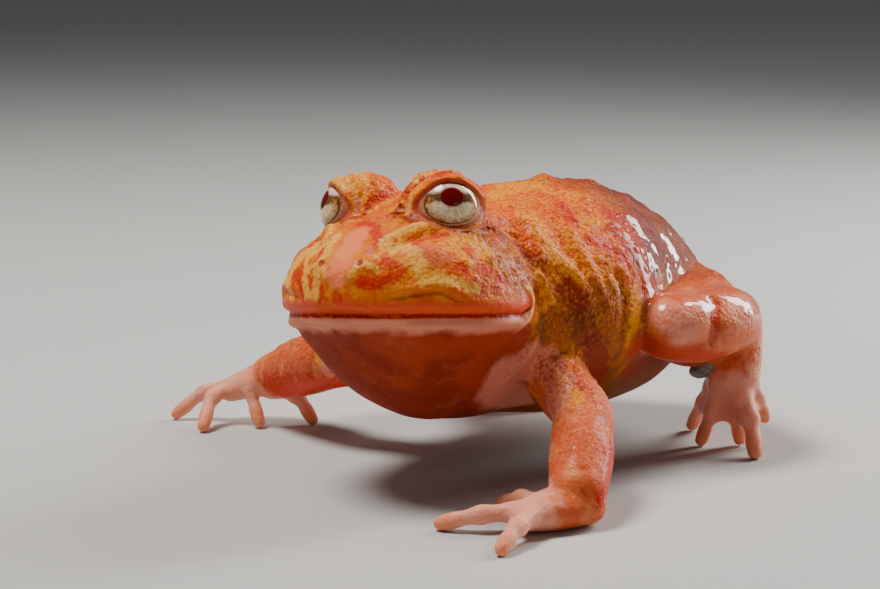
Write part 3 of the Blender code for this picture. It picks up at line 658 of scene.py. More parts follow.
def eye_frame(side):
    """The axes of one eye: across, down its face, and out along its gaze."""
    turn, lift = math.radians(EYE_TURN), math.radians(EYE_LIFT)
    gaze = HEAD @ Vector((side * math.sin(turn) * math.cos(lift),
                          -math.cos(turn) * math.cos(lift), math.sin(lift)))
    across = gaze.cross(HEAD @ Vector((0, 0, 1))).normalized()
    return Matrix((across, across.cross(gaze).normalized() * -1, gaze)).transposed()


def eye_spread(points, side):
    """Each point's place round an eye: 1 on the edge of its opening, with its angle and distance."""
    axes = np.array(eye_frame(side))
    local = (points - np.array(eye_centre(side))) @ axes
    wide, high = EYE_OPENING
    spread = np.sqrt((local[:, 0] / wide) ** 2 + (local[:, 1] / high) ** 2)
    angle = np.arctan2(-local[:, 1], side * local[:, 0])
    spread *= 1 - ALMOND * np.abs(np.cos(angle)) ** 8 + UNEVEN * np.sin(3 * angle + 0.6)
    far = np.linalg.norm(local, axis=1)
    spread[(local[:, 2] <= 0) | (far > EYE_RADIUS * 2.2)] = OUTSIDE
    return spread, angle, far, local @ axes.T / far[:, None]


def eye_arc(side, spread, start, stop):
    """An arc round an eye in degrees, from 0 at its front corner over 90 at its top."""
    axes, centre = eye_frame(side), eye_centre(side)
    path = []
    for k in range(ARC_STEPS + 1):
        angle = math.radians(start + (stop - start) * k / ARC_STEPS)
        wide, high = (half * spread for half in EYE_OPENING)
        flat = Vector((side * wide * math.cos(angle), -high * math.sin(angle), 0.0))
        out = math.sqrt(max((EYE_RADIUS + LID_HEIGHT) ** 2 - flat.length_squared, 0.5))
        path.append(centre + axes @ (flat + Vector((0.0, 0.0, out))))
    return path


def shape_eye(skin, side):
    """Opens the lids: the skin inside the opening sinks under the eyeball, and its rim swells."""
    spread, angle, far, outward = eye_spread(skin.points, side)
    short = EYE_RADIUS + LID_HEIGHT - far
    rim = bell(spread, 1.25, np.where(spread > 1.25, 0.7, 0.3))
    lift = np.where(spread < 1.0, 0.0, np.where(short > 0, short, rim * short))
    skin.points += outward * lift[:, None]
    spread, angle, far, outward = eye_spread(skin.points, side)
    under = between(spread, 1.12, 0.96)
    skin.points += outward * (under * np.minimum(EYE_RADIUS - 0.7 - far, 0.0))[:, None]
    upper = unit(np.sin(angle) * 1.6 + 0.3)
    lids = 0.1 * upper * bell(spread, 1.2, 0.1) - 0.12 * upper * bell(spread, 1.45, 0.07)
    lids += (1 - upper) * (0.1 * bell(spread, 1.16, 0.07) - 0.14 * bell(spread, 1.36, 0.1))
    skin.points += outward * lids[:, None]


for side in (1, -1):
    shape_eye(skin, side)
    skin.refresh()
    for spread, start, stop, width, height in LID_FOLDS:
        skin.stroke(eye_arc(side, spread, start, stop), width, height, fade=0.2)
skin.refresh()
print("lid folds", len(LID_FOLDS), "on each side")

# %% [markdown]
# The folds are drawn as a modeller draws them, with a ridge or groove along a short path: the ridge
# from eye to nostril, the pale roll under the eye, the crease above the lip, the fold behind the
# corner of the mouth, the yellow fold over the shoulder, and stretch lines in the armpit. Each is
# given for the left side and repeated on the right. The last two numbers are width and height.

# %% Folds
HEAD_FOLDS = (
    (((8.6, 3.6, 11.6), (6.0, 3.3, 10.2), (3.4, 3.0, 8.3), (1.8, 2.7, 6.6)), 1.0, 0.38),
    (((0.3, 1.4, 3.4), (0.4, 1.8, 4.4), (0.8, 2.5, 5.1), (1.1, 3.5, 5.2), (1.3, 4.6, 4.7)), 0.6, 0.24),
    (((3.9, 3.9, 7.8), (5.0, 4.5, 8.5), (6.3, 5.1, 9.2), (7.7, 5.9, 9.7), (9.4, 8.0, 9.6)), 0.65, 0.45),
    (((3.4, 5.0, 6.6), (5.0, 5.8, 7.6), (6.8, 7.0, 8.9), (8.7, 8.9, 8.9)), 0.4, -0.3),
    (((5.6, 5.4, 6.4), (6.8, 6.6, 7.2), (7.4, 8.6, 6.6)), 0.8, -0.22),
    (((1.4, 5.5, 1.4), (3.3, 8.9, 2.1), (4.8, 10.6, 2.3), (6.8, 12.3, 1.0)), 0.3, -0.3),
    (((1.6, 5.9, 2.3), (3.5, 9.1, 2.9), (5.2, 10.8, 3.1), (7.6, 12.6, 1.7)), 0.5, 0.22),
    (((17.8, 15.0, 3.0), (17.9, 15.2, 1.0), (17.2, 15.2, -0.9), (14.6, 14.4, -2.2)), 0.6, 0.4),
    (((19.4, 14.8, 3.0), (19.4, 15.0, 0.4), (18.2, 14.8, -2.4)), 0.5, -0.35),
    (((17.0, 9.5, 12.6), (21.0, 9.6, 11.8), (23.6, 10.8, 10.2), (22.6, 12.9, 7.8),
      (21.0, 14.6, 4.8)), 0.8, 0.5),
    (((18.4, 11.6, 10.4), (20.8, 12.0, 9.0), (20.2, 13.6, 6.0)), 0.7, -0.3),
    (((9.0, 2.0, 11.7), (13.0, 0.9, 12.6), (17.0, 2.0, 13.2)), 1.2, -0.25))
BODY_FOLDS = (
    (((8.0, 0.6, 31.9), (10.6, -1.2, 30.3), (12.7, -1.6, 28.4), (14.2, -0.9, 26.8),
      (15.4, 0.3, 25.6), (16.8, 1.5, 22.0)), 1.1, 0.5),
    (((9.6, 2.6, 31.4), (12.6, 1.2, 29.2), (14.6, 0.9, 27.0), (16.2, 1.9, 23.6)), 0.6, -0.4),
    (((11.0, 4.0, 30.8), (14.0, 2.6, 28.2), (16.0, 2.8, 25.6), (17.2, 3.4, 22.4)), 0.7, 0.35),
    (((17.4, 6.0, 26.0), (18.3, 6.6, 22.0), (18.0, 6.0, 17.6)), 0.7, -0.35),
    (((16.8, 10.6, 26.4), (17.6, 10.8, 22.0), (17.4, 10.0, 17.0)), 0.8, -0.3),
    (((13.1, -4.6, 26.4), (14.1, -4.0, 24.7), (14.9, -3.4, 22.6)), 0.5, 0.3),
    (((12.6, -6.0, 24.8), (13.8, -5.6, 22.4), (14.3, -5.4, 20.4)), 0.4, -0.25),
    (((14.5, -5.4, 19.6), (14.1, -6.8, 17.4), (13.4, -7.7, 15.6), (11.5, -9.0, 13.6)), 0.6, 0.35),
    (((13.8, -4.2, 18.6), (14.6, -5.4, 16.0), (13.4, -6.6, 14.2)), 0.4, -0.25),
    (((22.5, 19.1, 21.1), (24.1, 17.2, 19.6), (24.5, 16.4, 17.5), (23.9, 16.1, 15.3)), 1.4, -0.5),
    (((15.6, 14.0, 21.4), (18.6, 17.6, 21.6), (21.0, 22.0, 21.4)), 1.3, -0.25),
    (((16.8, -6.6, 12.0), (18.2, -6.9, 13.0), (19.6, -6.0, 14.0)), 0.35, -0.16))
LEFT_CREASES = (
    (((13.0, -4.5, 17.5), (15.3, -5.0, 14.6), (19.2, -6.7, 12.3)), 0.3, -0.2),
    (((14.6, -3.6, 17.0), (17.0, -4.4, 14.7), (21.0, -5.3, 13.0)), 0.3, -0.2),
    (((12.0, -5.4, 15.0), (14.2, -6.2, 13.2), (17.4, -7.2, 11.0)), 0.3, -0.18),
    (((19.0, -7.4, 10.4), (21.2, -8.6, 10.8), (23.6, -8.4, 10.4)), 0.35, -0.16),
    (((24.0, -14.2, 6.6), (26.0, -15.4, 6.4), (28.2, -14.0, 6.4)), 0.4, -0.16),
    (((23.0, -15.6, 4.8), (25.6, -17.0, 4.8), (28.0, -16.4, 4.2)), 0.35, -0.12))
RIGHT_CREASES = (
    (((-21.0, -5.6, 12.6), (-22.0, -6.2, 10.8), (-22.0, -5.6, 8.6)), 0.4, -0.2),
    (((-34.6, -2.0, 8.6), (-35.6, -2.6, 6.8), (-35.4, -2.0, 5.0)), 0.4, -0.16))
BODY_BUMPS = ((-0.2, 13.6, 34.4, 1.5, 0.55), (2.6, 8.6, 33.9, 1.3, 0.35), (4.0, 18.4, 33.6, 1.6, 0.4),
              (8.4, 12.0, 32.6, 1.3, 0.35), (7.0, 22.0, 31.8, 1.4, 0.4), (12.0, 16.0, 29.8, 1.2, 0.3),
              (9.0, 5.0, 32.2, 1.1, 0.3), (3.4, 28.0, 31.0, 1.3, 0.35), (21.4, 12.0, 18.9, 3.2, 0.4))
HEAD_BUMPS = ((*NOSTRIL_RIM, 1.1, 0.3), (*NOSTRIL_HOLE, 0.45, -0.85), (5.8, 8.9, 6.5, 1.7, 0.3))
PATH_STEPS = 3


def head_path(path, side=1):
    """A smooth path in the head's axes as points of the frame, mirrored if side is -1."""
    return [on_head(back, side * left, up) for back, left, up in spline(path, PATH_STEPS)]


def body_path(path, side=1):
    """A smooth path on the body, mirrored if side is -1."""
    return [(side * x, y, z) for x, y, z in spline(path, PATH_STEPS)]


for side in (1, -1):
    for path, width, height in HEAD_FOLDS:
        skin.stroke(head_path(path, side), width, height)
    for back, left, up, width, height in HEAD_BUMPS:
        skin.dab(on_head(back, side * left, up), width, height)
    for path, width, height in BODY_FOLDS:
        skin.stroke(body_path(path, side), width, height)
    for x, y, z, width, height in BODY_BUMPS:
        skin.dab((side * x, y, z), width, height)
for path, width, height in LEFT_CREASES + RIGHT_CREASES:
    skin.stroke(body_path(path), width, height)
skin.smooth(1)
skin.refresh()
print("folds", len(HEAD_FOLDS) + len(BODY_FOLDS), "on each side")

# %% [markdown]
# A horned frog's back is rough, and so are its flanks, brows and outer arms, but its belly, lips,
# lids, palms and digits are smooth. How rough each point is follows from its place, the way it
# faces and its distance from the mouth and the eyes, so no border has to be drawn by hand.

# %% Where the skin is rough
HEAD_ROUGH, ARMS_ROUGH, LEGS_SMOOTH = 0.35, 0.55, 0.7


def limb_share(skin, paths, reach):
    """1 within the reach of the limbs' middle lines and 0 beyond it, for each point."""
    share = np.zeros(len(skin.points))
    for path in paths:
        far, _ = skin.near([row[:3] for row in path], reach=9.0)
        share = np.maximum(share, between(far, reach + 1.0, reach - 1.0))
    return share


def roughness_of(skin):
    """How rough the skin is at each point, from 0 on the belly to 1 on the back."""
    facing = skin.normals[:, 2]
    rough = between(facing, -0.45, 0.25) * between(skin.points[:, 2], 9.0, 14.0)
    rough *= between(skin.near(mouth_path())[0], 1.4, 2.8)
    for side in (1, -1):
        rough *= between(eye_spread(skin.points, side)[0], 1.08, 1.3)
    _, back, up = in_head(skin.points)
    rough[(back < 16) & (up < -0.5)] = 0.0
    arms = limb_share(skin, (ARM_LEFT[1:], ARM_RIGHT[1:]), 4.6)
    rough = np.maximum(rough, ARMS_ROUGH * arms * between(facing, -0.7, -0.1))
    rough *= 1 - LEGS_SMOOTH * limb_share(skin, HIND_LIMBS + (PALM_LEFT, PALM_RIGHT), 5.4)
    return rough * np.maximum(between(back, 1.0, 13.0), HEAD_ROUGH)


def rump_of(skin):
    """1 on the rump, which stays wet and lumpy, and 0 elsewhere."""
    _, y, z = skin.points.T
    return between(y, 10.0, 18.0) * between(z, 19.0, 24.0)


# %% [markdown]
# Low warts of two sizes stand close together wherever the skin is rough. Broad uneven swellings
# under them keep the surface from looking turned on a lathe. The places are random but seeded, and
# none lies nearer to the next than a set spacing. A row of warts gives their spacing, width, height
# and seed, and a row of lumps their size, their height and how much higher they are on the rump.

# %% Warts
WARTS = ((2.6, 0.95, 0.26, 11), (1.1, 0.52, 0.13, 12))
WART_TRIALS, WARTS_ON_RUMP = 60000, 0.4
LUMPS = ((6.5, 0.22, 1.0), (2.6, 0.1, 2.6), (1.3, 0.03, 3.0))


def scatter(skin, likely, spacing, seed):
    """Numbers of points spread over the skin, at least a spacing apart."""
    random = np.random.default_rng(seed)
    order = random.permutation(len(skin.points))[:WART_TRIALS]
    order = order[random.random(len(order)) < likely[order]]
    cells = np.floor(skin.points[order] / spacing).astype(int)
    taken, chosen = {}, []
    for number, cell in zip(order, map(tuple, cells)):
        point = skin.points[number]
        close = (taken.get((cell[0] + i, cell[1] + j, cell[2] + k))
                 for i in (-1, 0, 1) for j in (-1, 0, 1) for k in (-1, 0, 1))
        if all(other is None or np.sum((other - point) ** 2) > spacing ** 2 for other in close):
            taken[cell] = point
            chosen.append(number)
    return np.array(chosen)


def raise_warts(skin, rough, spacing, width, height, seed):
    """Rounds up a wart at each scattered place, each with its own width and height."""
    chosen = scatter(skin, rough, spacing, seed)
    random = np.random.default_rng(seed + 100)
    widths = width * random.uniform(0.6, 1.25, len(chosen))
    heights = height * random.uniform(0.35, 1.2, len(chosen)) * rough[chosen]
    tree = kdtree.KDTree(len(chosen))
    for k, number in enumerate(chosen):
        tree.insert(skin.points[number], k)
    tree.balance()
    swell = np.zeros(len(skin.points))
    for number in np.where(rough > 0.02)[0]:
        _, k, far = tree.find(skin.points[number])
        if far < widths[k]:
            swell[number] = heights[k] * (1 - (far / widths[k]) ** 2) ** 1.5
    skin.points += skin.normals * swell[:, None]
    print("warts", len(chosen))


rough, rump = roughness_of(skin), rump_of(skin)
for size, height, on_rump in LUMPS:
    lumps = np.array([noise.noise(Vector(p) / size) for p in skin.points])
    lumps *= height * (0.25 + 0.75 * rough) * (1 + (on_rump - 1) * rump)
    skin.points += skin.normals * lumps[:, None]
for spacing, width, height, seed in WARTS:
    raise_warts(skin, rough * (1 - (1 - WARTS_ON_RUMP) * rump), spacing, width, height, seed)
skin.points[:, 2] = np.maximum(skin.points[:, 2], -SHIFT.z * 1000)
skin.refresh()

# %% [markdown]
# Flat stretches need fewer triangles than lids and lips, so the finished surface is thinned by
# merging points where it is plainest. The paint is worked out afterwards, on the points that stay.

# %% Fewer triangles
SKIN_TRIANGLES = 190000


def thin_out(body, triangles):
    """Merges points until about that many triangles are left."""
    count = sum(len(face.vertices) - 2 for face in body.data.polygons)
    fewer = body.modifiers.new("Thin out", "DECIMATE")
    fewer.ratio = triangles / count
    fewer.use_collapse_triangulate = True
    apply_modifiers(body)


thin_out(frog, SKIN_TRIANGLES)
skin = Skin(frog)
print("skin after thinning", len(skin.points), "points")

# %% [markdown]
# The strawberry colouring is painted in named masks, as a model painter lays one colour over
# another: each mask holds soft strokes along short paths, and the shader later breaks their edges
# up with noise. Paths on the head are back, left and up, and the last number is the half width.
# The snout's marks don't mirror, so they are given for both sides, and the head's only for the left.

# %% Paint for the head
SNOUT_PAINT = {
    "pink": ((((4.8, -0.5, 9.0), (3.2, -0.1, 7.7), (1.2, 0.2, 5.4), (0.4, -0.1, 4.0)), 1.2),),
    "cream": ((((4.6, -2.9, 8.3), (1.8, -2.7, 6.0), (0.6, -3.0, 3.9), (0.5, -3.3, 2.0)), 0.5),
              (((6.0, -6.6, 8.3), (3.0, -6.0, 6.4), (1.3, -5.2, 4.0), (1.0, -4.6, 1.6)), 0.5),
              (((4.4, -9.5, 4.8), (3.5, -8.9, 3.2), (2.8, -8.0, 1.4)), 0.45),
              (((8.6, -6.4, 12.2), (10.2, -7.4, 15.0), (12.6, -7.6, 16.2)), 1.3)),
    "red": ((((0.5, -2.2, 2.6), (0.6, -2.5, 1.2)), 0.4), (((0.3, -0.4, 2.6), (0.3, -0.3, 1.2)), 0.55),
            (((2.6, -3.6, 7.0), (1.2, -3.8, 5.0)), 0.42), (((6.9, -5.5, 9.4), (4.9, -4.8, 8.2)), 0.5),
            (((1.4, -5.8, 3.2), (1.3, -5.5, 1.2)), 0.45), (((3.2, -7.8, 4.8), (2.1, -7.1, 2.0)), 0.4),
            (((6.6, -1.4, 10.2), (5.9, 1.1, 9.7), (3.6, 3.4, 7.6)), 0.6),
            (((5.2, -10.4, 5.4), (4.4, -9.8, 2.2)), 0.45))}
HEAD_PAINT = {
    "cream": ((((3.6, 3.7, 7.6), (5.0, 4.5, 8.5), (6.3, 5.1, 9.2), (7.7, 5.9, 9.7), (9.0, 7.2, 9.8)), 0.55),
              (((0.4, 1.7, 4.2), (0.8, 2.5, 5.1), (1.1, 3.5, 5.2), (1.3, 4.6, 4.7)), 0.35),
              (((3.6, 4.8, 6.6), (5.0, 6.4, 6.2), (4.2, 8.4, 5.0)), 0.8),
              (((3.5, 9.1, 3.4), (5.2, 10.8, 3.7), (8.4, 13.0, 2.6)), 0.6),
              (((17.8, 15.0, 3.0), (17.9, 15.2, 1.0), (17.0, 15.2, -0.7)), 0.45)),
    "yellow": ((((2.8, 6.9, 5.3), (3.8, 8.6, 4.8), (5.1, 10.4, 4.0)), 0.8),
               (((7.9, 9.8, 7.6), (9.7, 10.3, 8.1), (11.5, 10.5, 8.8), (12.6, 12.2, 7.2)), 0.8),
               (((9.0, 10.6, 7.6), (8.7, 11.7, 5.8), (9.6, 12.9, 3.6)), 0.6),
               (((11.2, 11.2, 8.0), (11.2, 12.4, 6.2), (12.4, 13.4, 4.6)), 0.6),
               (((11.5, 5.5, 13.6), (9.5, 2.0, 12.4)), 1.2),
               (((3.8, 3.0, 8.6), (2.0, 4.0, 6.4)), 0.6)),
    "olive": ((((12.8, 12.6, 7.0), (15.0, 13.3, 6.4), (17.4, 14.2, 4.6)), 2.1),
              (((14.6, 14.2, 4.4), (16.8, 14.6, 2.6)), 1.3),
              (((20.0, 13.4, 6.4), (20.6, 14.6, 3.0)), 1.6)),
    "mauve": ((((4.8, 8.2, 6.6), (6.0, 9.4, 6.6)), 1.5),
              (((8.2, 12.8, 2.9), (10.6, 13.9, 2.8), (13.3, 14.6, 2.2)), 1.1),
              (((2.9, 2.9, 6.2), (4.6, 3.6, 8.9)), 0.5)),
    "red": ((((4.1, 7.6, 6.2), (5.3, 7.1, 7.8), (6.9, 7.5, 8.7), (8.9, 9.0, 8.9)), 0.33),
            (((0.5, 3.0, 3.3), (0.9, 4.3, 3.2), (1.8, 6.2, 3.8), (2.5, 7.0, 4.6)), 0.65),
            (((2.1, 5.2, 5.6), (2.5, 6.6, 5.2)), 0.5),
            (((9.9, 11.5, 7.2), (9.7, 11.7, 6.6)), 0.6), (((7.4, 11.5, 5.4), (7.8, 11.9, 4.6)), 0.5),
            (((9.2, 12.7, 4.7), (11.2, 13.3, 4.7), (12.6, 14.0, 3.6)), 0.65),
            (((9.6, 8.6, 13.6), (12.4, 6.0, 15.6), (16.6, 5.4, 15.8)), 0.7),
            (((9.0, 2.5, 12.0), (12.5, 2.0, 13.2)), 0.5),
            (((14.4, 3.0, 14.2), (18.0, 4.6, 13.8)), 0.6)),
    # Painted shade over the skin's own dark marks: in front of and behind the eye and on the rear cheek.
    "dark_marks_and_shade": ((((8.0, 3.5, 11.3), (8.4, 4.7, 10.9)), 0.7), (((14.6, 10.6, 11.6), (15.5, 10.5, 10.2)), 0.7),
             (((17.0, 12.4, 9.4), (20.0, 12.6, 8.6), (20.4, 13.6, 6.4)), 1.0))}

# %% [markdown]
# Paths on the body are x, y and z. The yellow runs down the fold over the shoulder, olive shades the
# flank, and red blots cover the side of the back. Pale pink skin shows in the armpit, which stays
# dry and thin. Deep red under the thigh and in the crease of the knee is painted shade, and so are
# the dark strokes behind the shoulder, low on the flank, on the side of the back and under the
# thigh. Round the eyes the strokes follow arcs.

# %% Paint for the body and the lids
BODY_PAINT = {
    "yellow": ((((8.0, 0.6, 31.9), (10.6, -1.2, 30.3), (12.7, -1.6, 28.4), (14.2, -0.9, 26.8),
                 (15.4, 0.3, 25.6)), 1.1),
               (((17.6, 8.4, 22.0), (17.4, 8.0, 17.0)), 1.3),
               (((13.2, -4.4, 26.0), (14.6, -3.8, 23.0)), 0.6),
               (((16.6, -5.2, 14.4), (18.6, -6.0, 13.6), (20.8, -6.9, 12.3)), 0.9),
               (((0.0, 4.0, 33.8), (1.0, 10.0, 34.2)), 1.8)),
    "red": ((((8.1, 6.6, 32.5), (11.4, 4.8, 30.9)), 0.8), (((11.9, 12.2, 31.0), (13.7, 11.4, 29.7),
                                                         (15.5, 10.7, 27.8)), 1.5),
            (((14.3, 5.6, 28.9), (15.6, 6.8, 27.7), (16.4, 9.0, 26.2)), 1.1),
            (((14.0, 13.6, 29.0), (15.9, 13.0, 26.4), (16.6, 13.4, 23.4)), 2.6),
            (((12.0, 20.0, 30.4), (14.6, 20.0, 27.0)), 1.8),
            (((3.0, 20.0, 33.8), (7.0, 24.0, 32.0)), 1.4), (((3.0, 31.0, 29.6), (0.0, 35.0, 27.0)), 1.6),
            (((16.0, 22.0, 11.6), (18.0, 16.0, 13.0)), 1.6)),
    "olive": ((((17.4, 3.2, 22.4), (17.8, 4.4, 18.4), (16.6, 2.0, 15.0)), 2.2),
              (((17.4, 10.0, 21.0), (17.2, 9.0, 15.0)), 2.4),
              (((14.6, -3.2, 20.6), (15.4, -2.4, 18.0)), 1.4)),
    # Painted shade: dark strokes behind the shoulder, low on the flank, on the side of back and rump, under
    # the thigh.
    "dark_marks_and_shade": ((((15.4, -1.2, 24.0), (16.4, 0.2, 22.2)), 1.1),
             (((17.2, 1.6, 17.0), (17.0, 4.0, 12.0)), 1.6),
             (((15.0, 16.6, 28.4), (16.6, 15.4, 25.0)), 1.0), (((13.6, 9.6, 30.4), (16.6, 11.0, 25.4)), 0.7),
             (((16.0, 12.0, 12.4), (15.0, 20.0, 11.2), (13.0, 28.0, 10.6)), 2.2)),
    # Painted shade: deep red under the thigh and in the crease of the knee.
    "knee_shade": ((((18.6, 9.4, 15.4), (20.4, 11.4, 14.4), (22.6, 14.6, 14.2), (22.4, 19.0, 13.6)), 1.7),
             (((23.2, 18.6, 20.4), (24.1, 17.2, 19.2), (24.4, 16.4, 16.4)), 0.7)),
    "pale": ((((9.8, -3.3, 10.2), (10.5, -8.0, 11.7), (12.6, -9.4, 13.8)), 2.4),
             (((13.6, -8.0, 15.7), (14.1, -5.9, 17.0), (15.1, -5.2, 14.6), (17.7, -5.8, 13.0)), 1.3),
             (((12.6, -6.4, 15.0), (14.6, -4.6, 16.0), (17.0, -5.4, 13.4), (18.6, -7.0, 11.0)), 1.7),
             (((20.4, 11.6, 19.6), (22.0, 12.6, 18.0)), 2.0))}
# The wide dark arcs round the lids are painted shade over the skin's own dark, the thin ones under the eye
# the lids' own lines.
LID_PAINT = (("cream", 1.95, 50, 115, 0.4), ("dark_marks_and_shade", 1.6, -40, 5, 0.5), ("dark_marks_and_shade", 1.5, 185, 225, 0.5),
             ("pale", 1.42, -150, 20, 0.36), ("dark_marks_and_shade", 1.3, -150, -30, 0.09),
             ("dark_marks_and_shade", 1.66, -125, -50, 0.1))
LEFT_LID_RED = (1.62, 20, 165, 0.42)
LEFT_ARM_RED = (((27.6, -8.4, 8.6), (28.9, -10.6, 6.0), (29.6, -13.6, 3.6)), 1.1)
RIGHT_ARM_RED = (((-18.0, -3.6, 8.6), (-26.0, -4.0, 7.4), (-33.0, -2.2, 5.4)), 2.2)
MASKS = ("pink", "cream", "yellow", "olive", "mauve", "pale", "red", "dark_marks_and_shade", "knee_shade", "upper_lip",
         "lower_lip", "mouth", "lid", "limb", "digit", "tip", "under", "shaded_flank", "wet", "slick", "cavity_light_and_shade",
         "rough")
masks = {name: np.zeros(len(skin.points)) for name in MASKS}


def paint(name, path, width):
    """Lays one soft stroke, which is 1 along the path, one half at its width and 0 at twice that."""
    far, _ = skin.near(skin.on_surface(path), reach=2.2 * width)
    masks[name] = np.maximum(masks[name], between(far, 2 * width, 0.0))


def paint_strokes(table, path_of, side=1):
    """Lays all strokes of a table, each path first taken to the skin's own frame."""
    for name, strokes in table.items():
        for path, width in strokes:
            paint(name, path_of(path, side), width)


def paint_arc(name, side, spread, start, stop, width):
    """Lays one stroke along an arc round an eye."""
    paint(name, eye_arc(side, spread, start, stop), width)


for side in (1, -1):
    paint_strokes(HEAD_PAINT, head_path, side)
    paint_strokes(BODY_PAINT, body_path, side)
    for name, *arc in LID_PAINT:
        paint_arc(name, side, *arc)
paint_strokes(SNOUT_PAINT, head_path)
paint_arc("red", 1, *LEFT_LID_RED)
paint("red", *LEFT_ARM_RED)
paint("red", *RIGHT_ARM_RED)
print("strokes laid on", sum(bool(values.any()) for values in masks.values()), "masks")

# %% [markdown]
# Other masks follow the body's regions, not strokes: pale digits, rusty throat and belly that are
# darkened as painted shade, brown flanks darkened lower down as painted shade, lips, and the wet film
# on rump and legs. Hollows and crests between the warts are measured from how each point lies among
# its neighbours, so that painted shade darkens the hollows and a painted highlight lightens the crests.

# %% Masks by region
DIGIT_EVEN_ROUNDS, HOLLOW_EVEN_ROUNDS = 60, 12


def spread_out(values, rounds):
    """Each value evened with its neighbours' values, round after round."""
    for _ in range(rounds):
        values = skin.neighbours(values[:, None])[:, 0]
    return values


def near_places(places, none, full):
    """1 for points that are as near as full to one of the places, and 0 beyond none."""
    share = np.zeros(len(skin.points))
    for place in places:
        far = np.linalg.norm(skin.points - np.array(place), axis=1)
        share = np.maximum(share, between(far, none, full))
    return share


def add_masks(body, masks):
    """Stores masks on a body's points under their names, where a material can read them."""
    for name, values in masks.items():
        layer = body.data.attributes.new(name, "FLOAT", "POINT")
        layer.data.foreach_set("value", values.astype(np.float32))


def paint_limbs():
    """Arms, legs and digits, and the digits' warmer tips."""
    arms = limb_share(skin, (ARM_LEFT[2:], PALM_LEFT, ARM_RIGHT[1:], PALM_RIGHT), 4.9)
    legs = limb_share(skin, HIND_LIMBS, 5.4)
    masks["digit"] = spread_out(limb_share(skin, DIGITS, 2.5), DIGIT_EVEN_ROUNDS)
    masks["limb"] = np.maximum(np.maximum(arms, legs), masks["digit"])
    masks["tip"] = near_places([digit[-1][:3] for digit in DIGITS], 3.3, 0.3)
    masks["wet"] = rump_of(skin) * (1 - legs)
    topside = np.minimum(between(skin.normals[:, 2], -0.3, 0.3), 0.8)
    masks["slick"] = np.maximum(masks["wet"], legs * topside * (1 - masks["digit"]))


def paint_trunk():
    """The throat and belly, the flanks and the rough back."""
    _, y, z = skin.points.T
    facing = skin.normals[:, 2]
    _, back, up = in_head(skin.points)
    throat = between(up, -0.7, -1.9) * between(back, 21.0, 17.0)
    # The throat and the downward-facing belly take the underside's ground, rusty and darkened as painted
    # shade.
    belly = between(facing, -0.1, -0.6) * between(z, 17.0, 13.0)
    masks["under"] = np.maximum(throat, belly) * (1 - masks["limb"])
    sideways = between(facing, 0.75, 0.15) * between(y, -9.0, -3.0)
    # Painted shade: the flank darkens lower down and where it faces sideways, over its own brown.
    masks["shaded_flank"] = between(z, 27.0, 18.0) * sideways * (1 - masks["limb"])
    masks["shaded_flank"] *= 1 - limb_share(skin, (ARM_LEFT, ARM_RIGHT), 5.0)
    masks["rough"] = roughness_of(skin) * (1 - np.minimum(1.4 * masks["pink"], 1.0))


def paint_face():
    """Lips above and below the line of the mouth, its line and the nostrils painted deep red as shade, and
    the lids.
    """
    _, back, up = in_head(skin.points)
    jaws = between(back, MOUTH_LENGTH + 0.8, MOUTH_LENGTH - 0.4) * (skin.points[:, 1] < 0)
    drop = MOUTH_UP + CORNER_RISE * np.clip((back - MOUTH_LENGTH + 1.6) / 2.1, 0.0, 1.2) - up
    masks["upper_lip"] = between(drop, -2.8, -0.2) * between(drop, 0.5, 0.0) * jaws
    masks["lower_lip"] = between(drop, 0.1, 0.6) * between(drop, 3.1, 0.3) * jaws
    holes = [on_head(NOSTRIL_HOLE[0], side * NOSTRIL_HOLE[1], NOSTRIL_HOLE[2]) for side in (1, -1)]
    # Painted shade: the crease of the mouth and the nostril pits are painted deep red.
    masks["mouth"] = np.maximum(between(np.abs(drop), 0.42, 0.0) * jaws, near_places(holes, 0.78, 0.18))
    for side in (1, -1):
        spread = eye_spread(skin.points, side)[0]
        masks["lid"] = np.maximum(masks["lid"], between(spread, 1.16, 1.06))


def paint_cavity_light_and_shade():
    """How far each point lies under its neighbours, evened more where the skin is smooth."""
    # The mask drives painted shade in the hollows and a painted highlight on the crests.
    bend = np.einsum("ij,ij->i", skin.neighbours(skin.points) - skin.points, skin.normals)
    edge_ends = skin.points[skin.edges[:, 0]] - skin.points[skin.edges[:, 1]]
    close = spread_out(bend / np.sqrt(np.mean(np.sum(edge_ends ** 2, axis=1))), 3)
    masks["cavity_light_and_shade"] = masks["rough"] * close
    masks["cavity_light_and_shade"] += (1 - masks["rough"]) * spread_out(close, HOLLOW_EVEN_ROUNDS)


paint_limbs()
paint_trunk()
paint_face()
paint_cavity_light_and_shade()
add_masks(frog, masks)
print("masks", {name: round(float(values.mean()), 3) for name, values in masks.items()})

# %% [markdown]
# Materials are built from a few shared node groups. Colours are given as the 0 to 255 numbers of a
# screen and turned into the renderer's linear light. Texture sizes are in millimetres.

# %% Node helpers


def light(red, green, blue):
    """A screen colour as linear light."""
    return tuple(((c / 255 + 0.055) / 1.055) ** 2.4 if c > 10 else c / 255 / 12.92
                 for c in (red, green, blue)) + (1.0,)


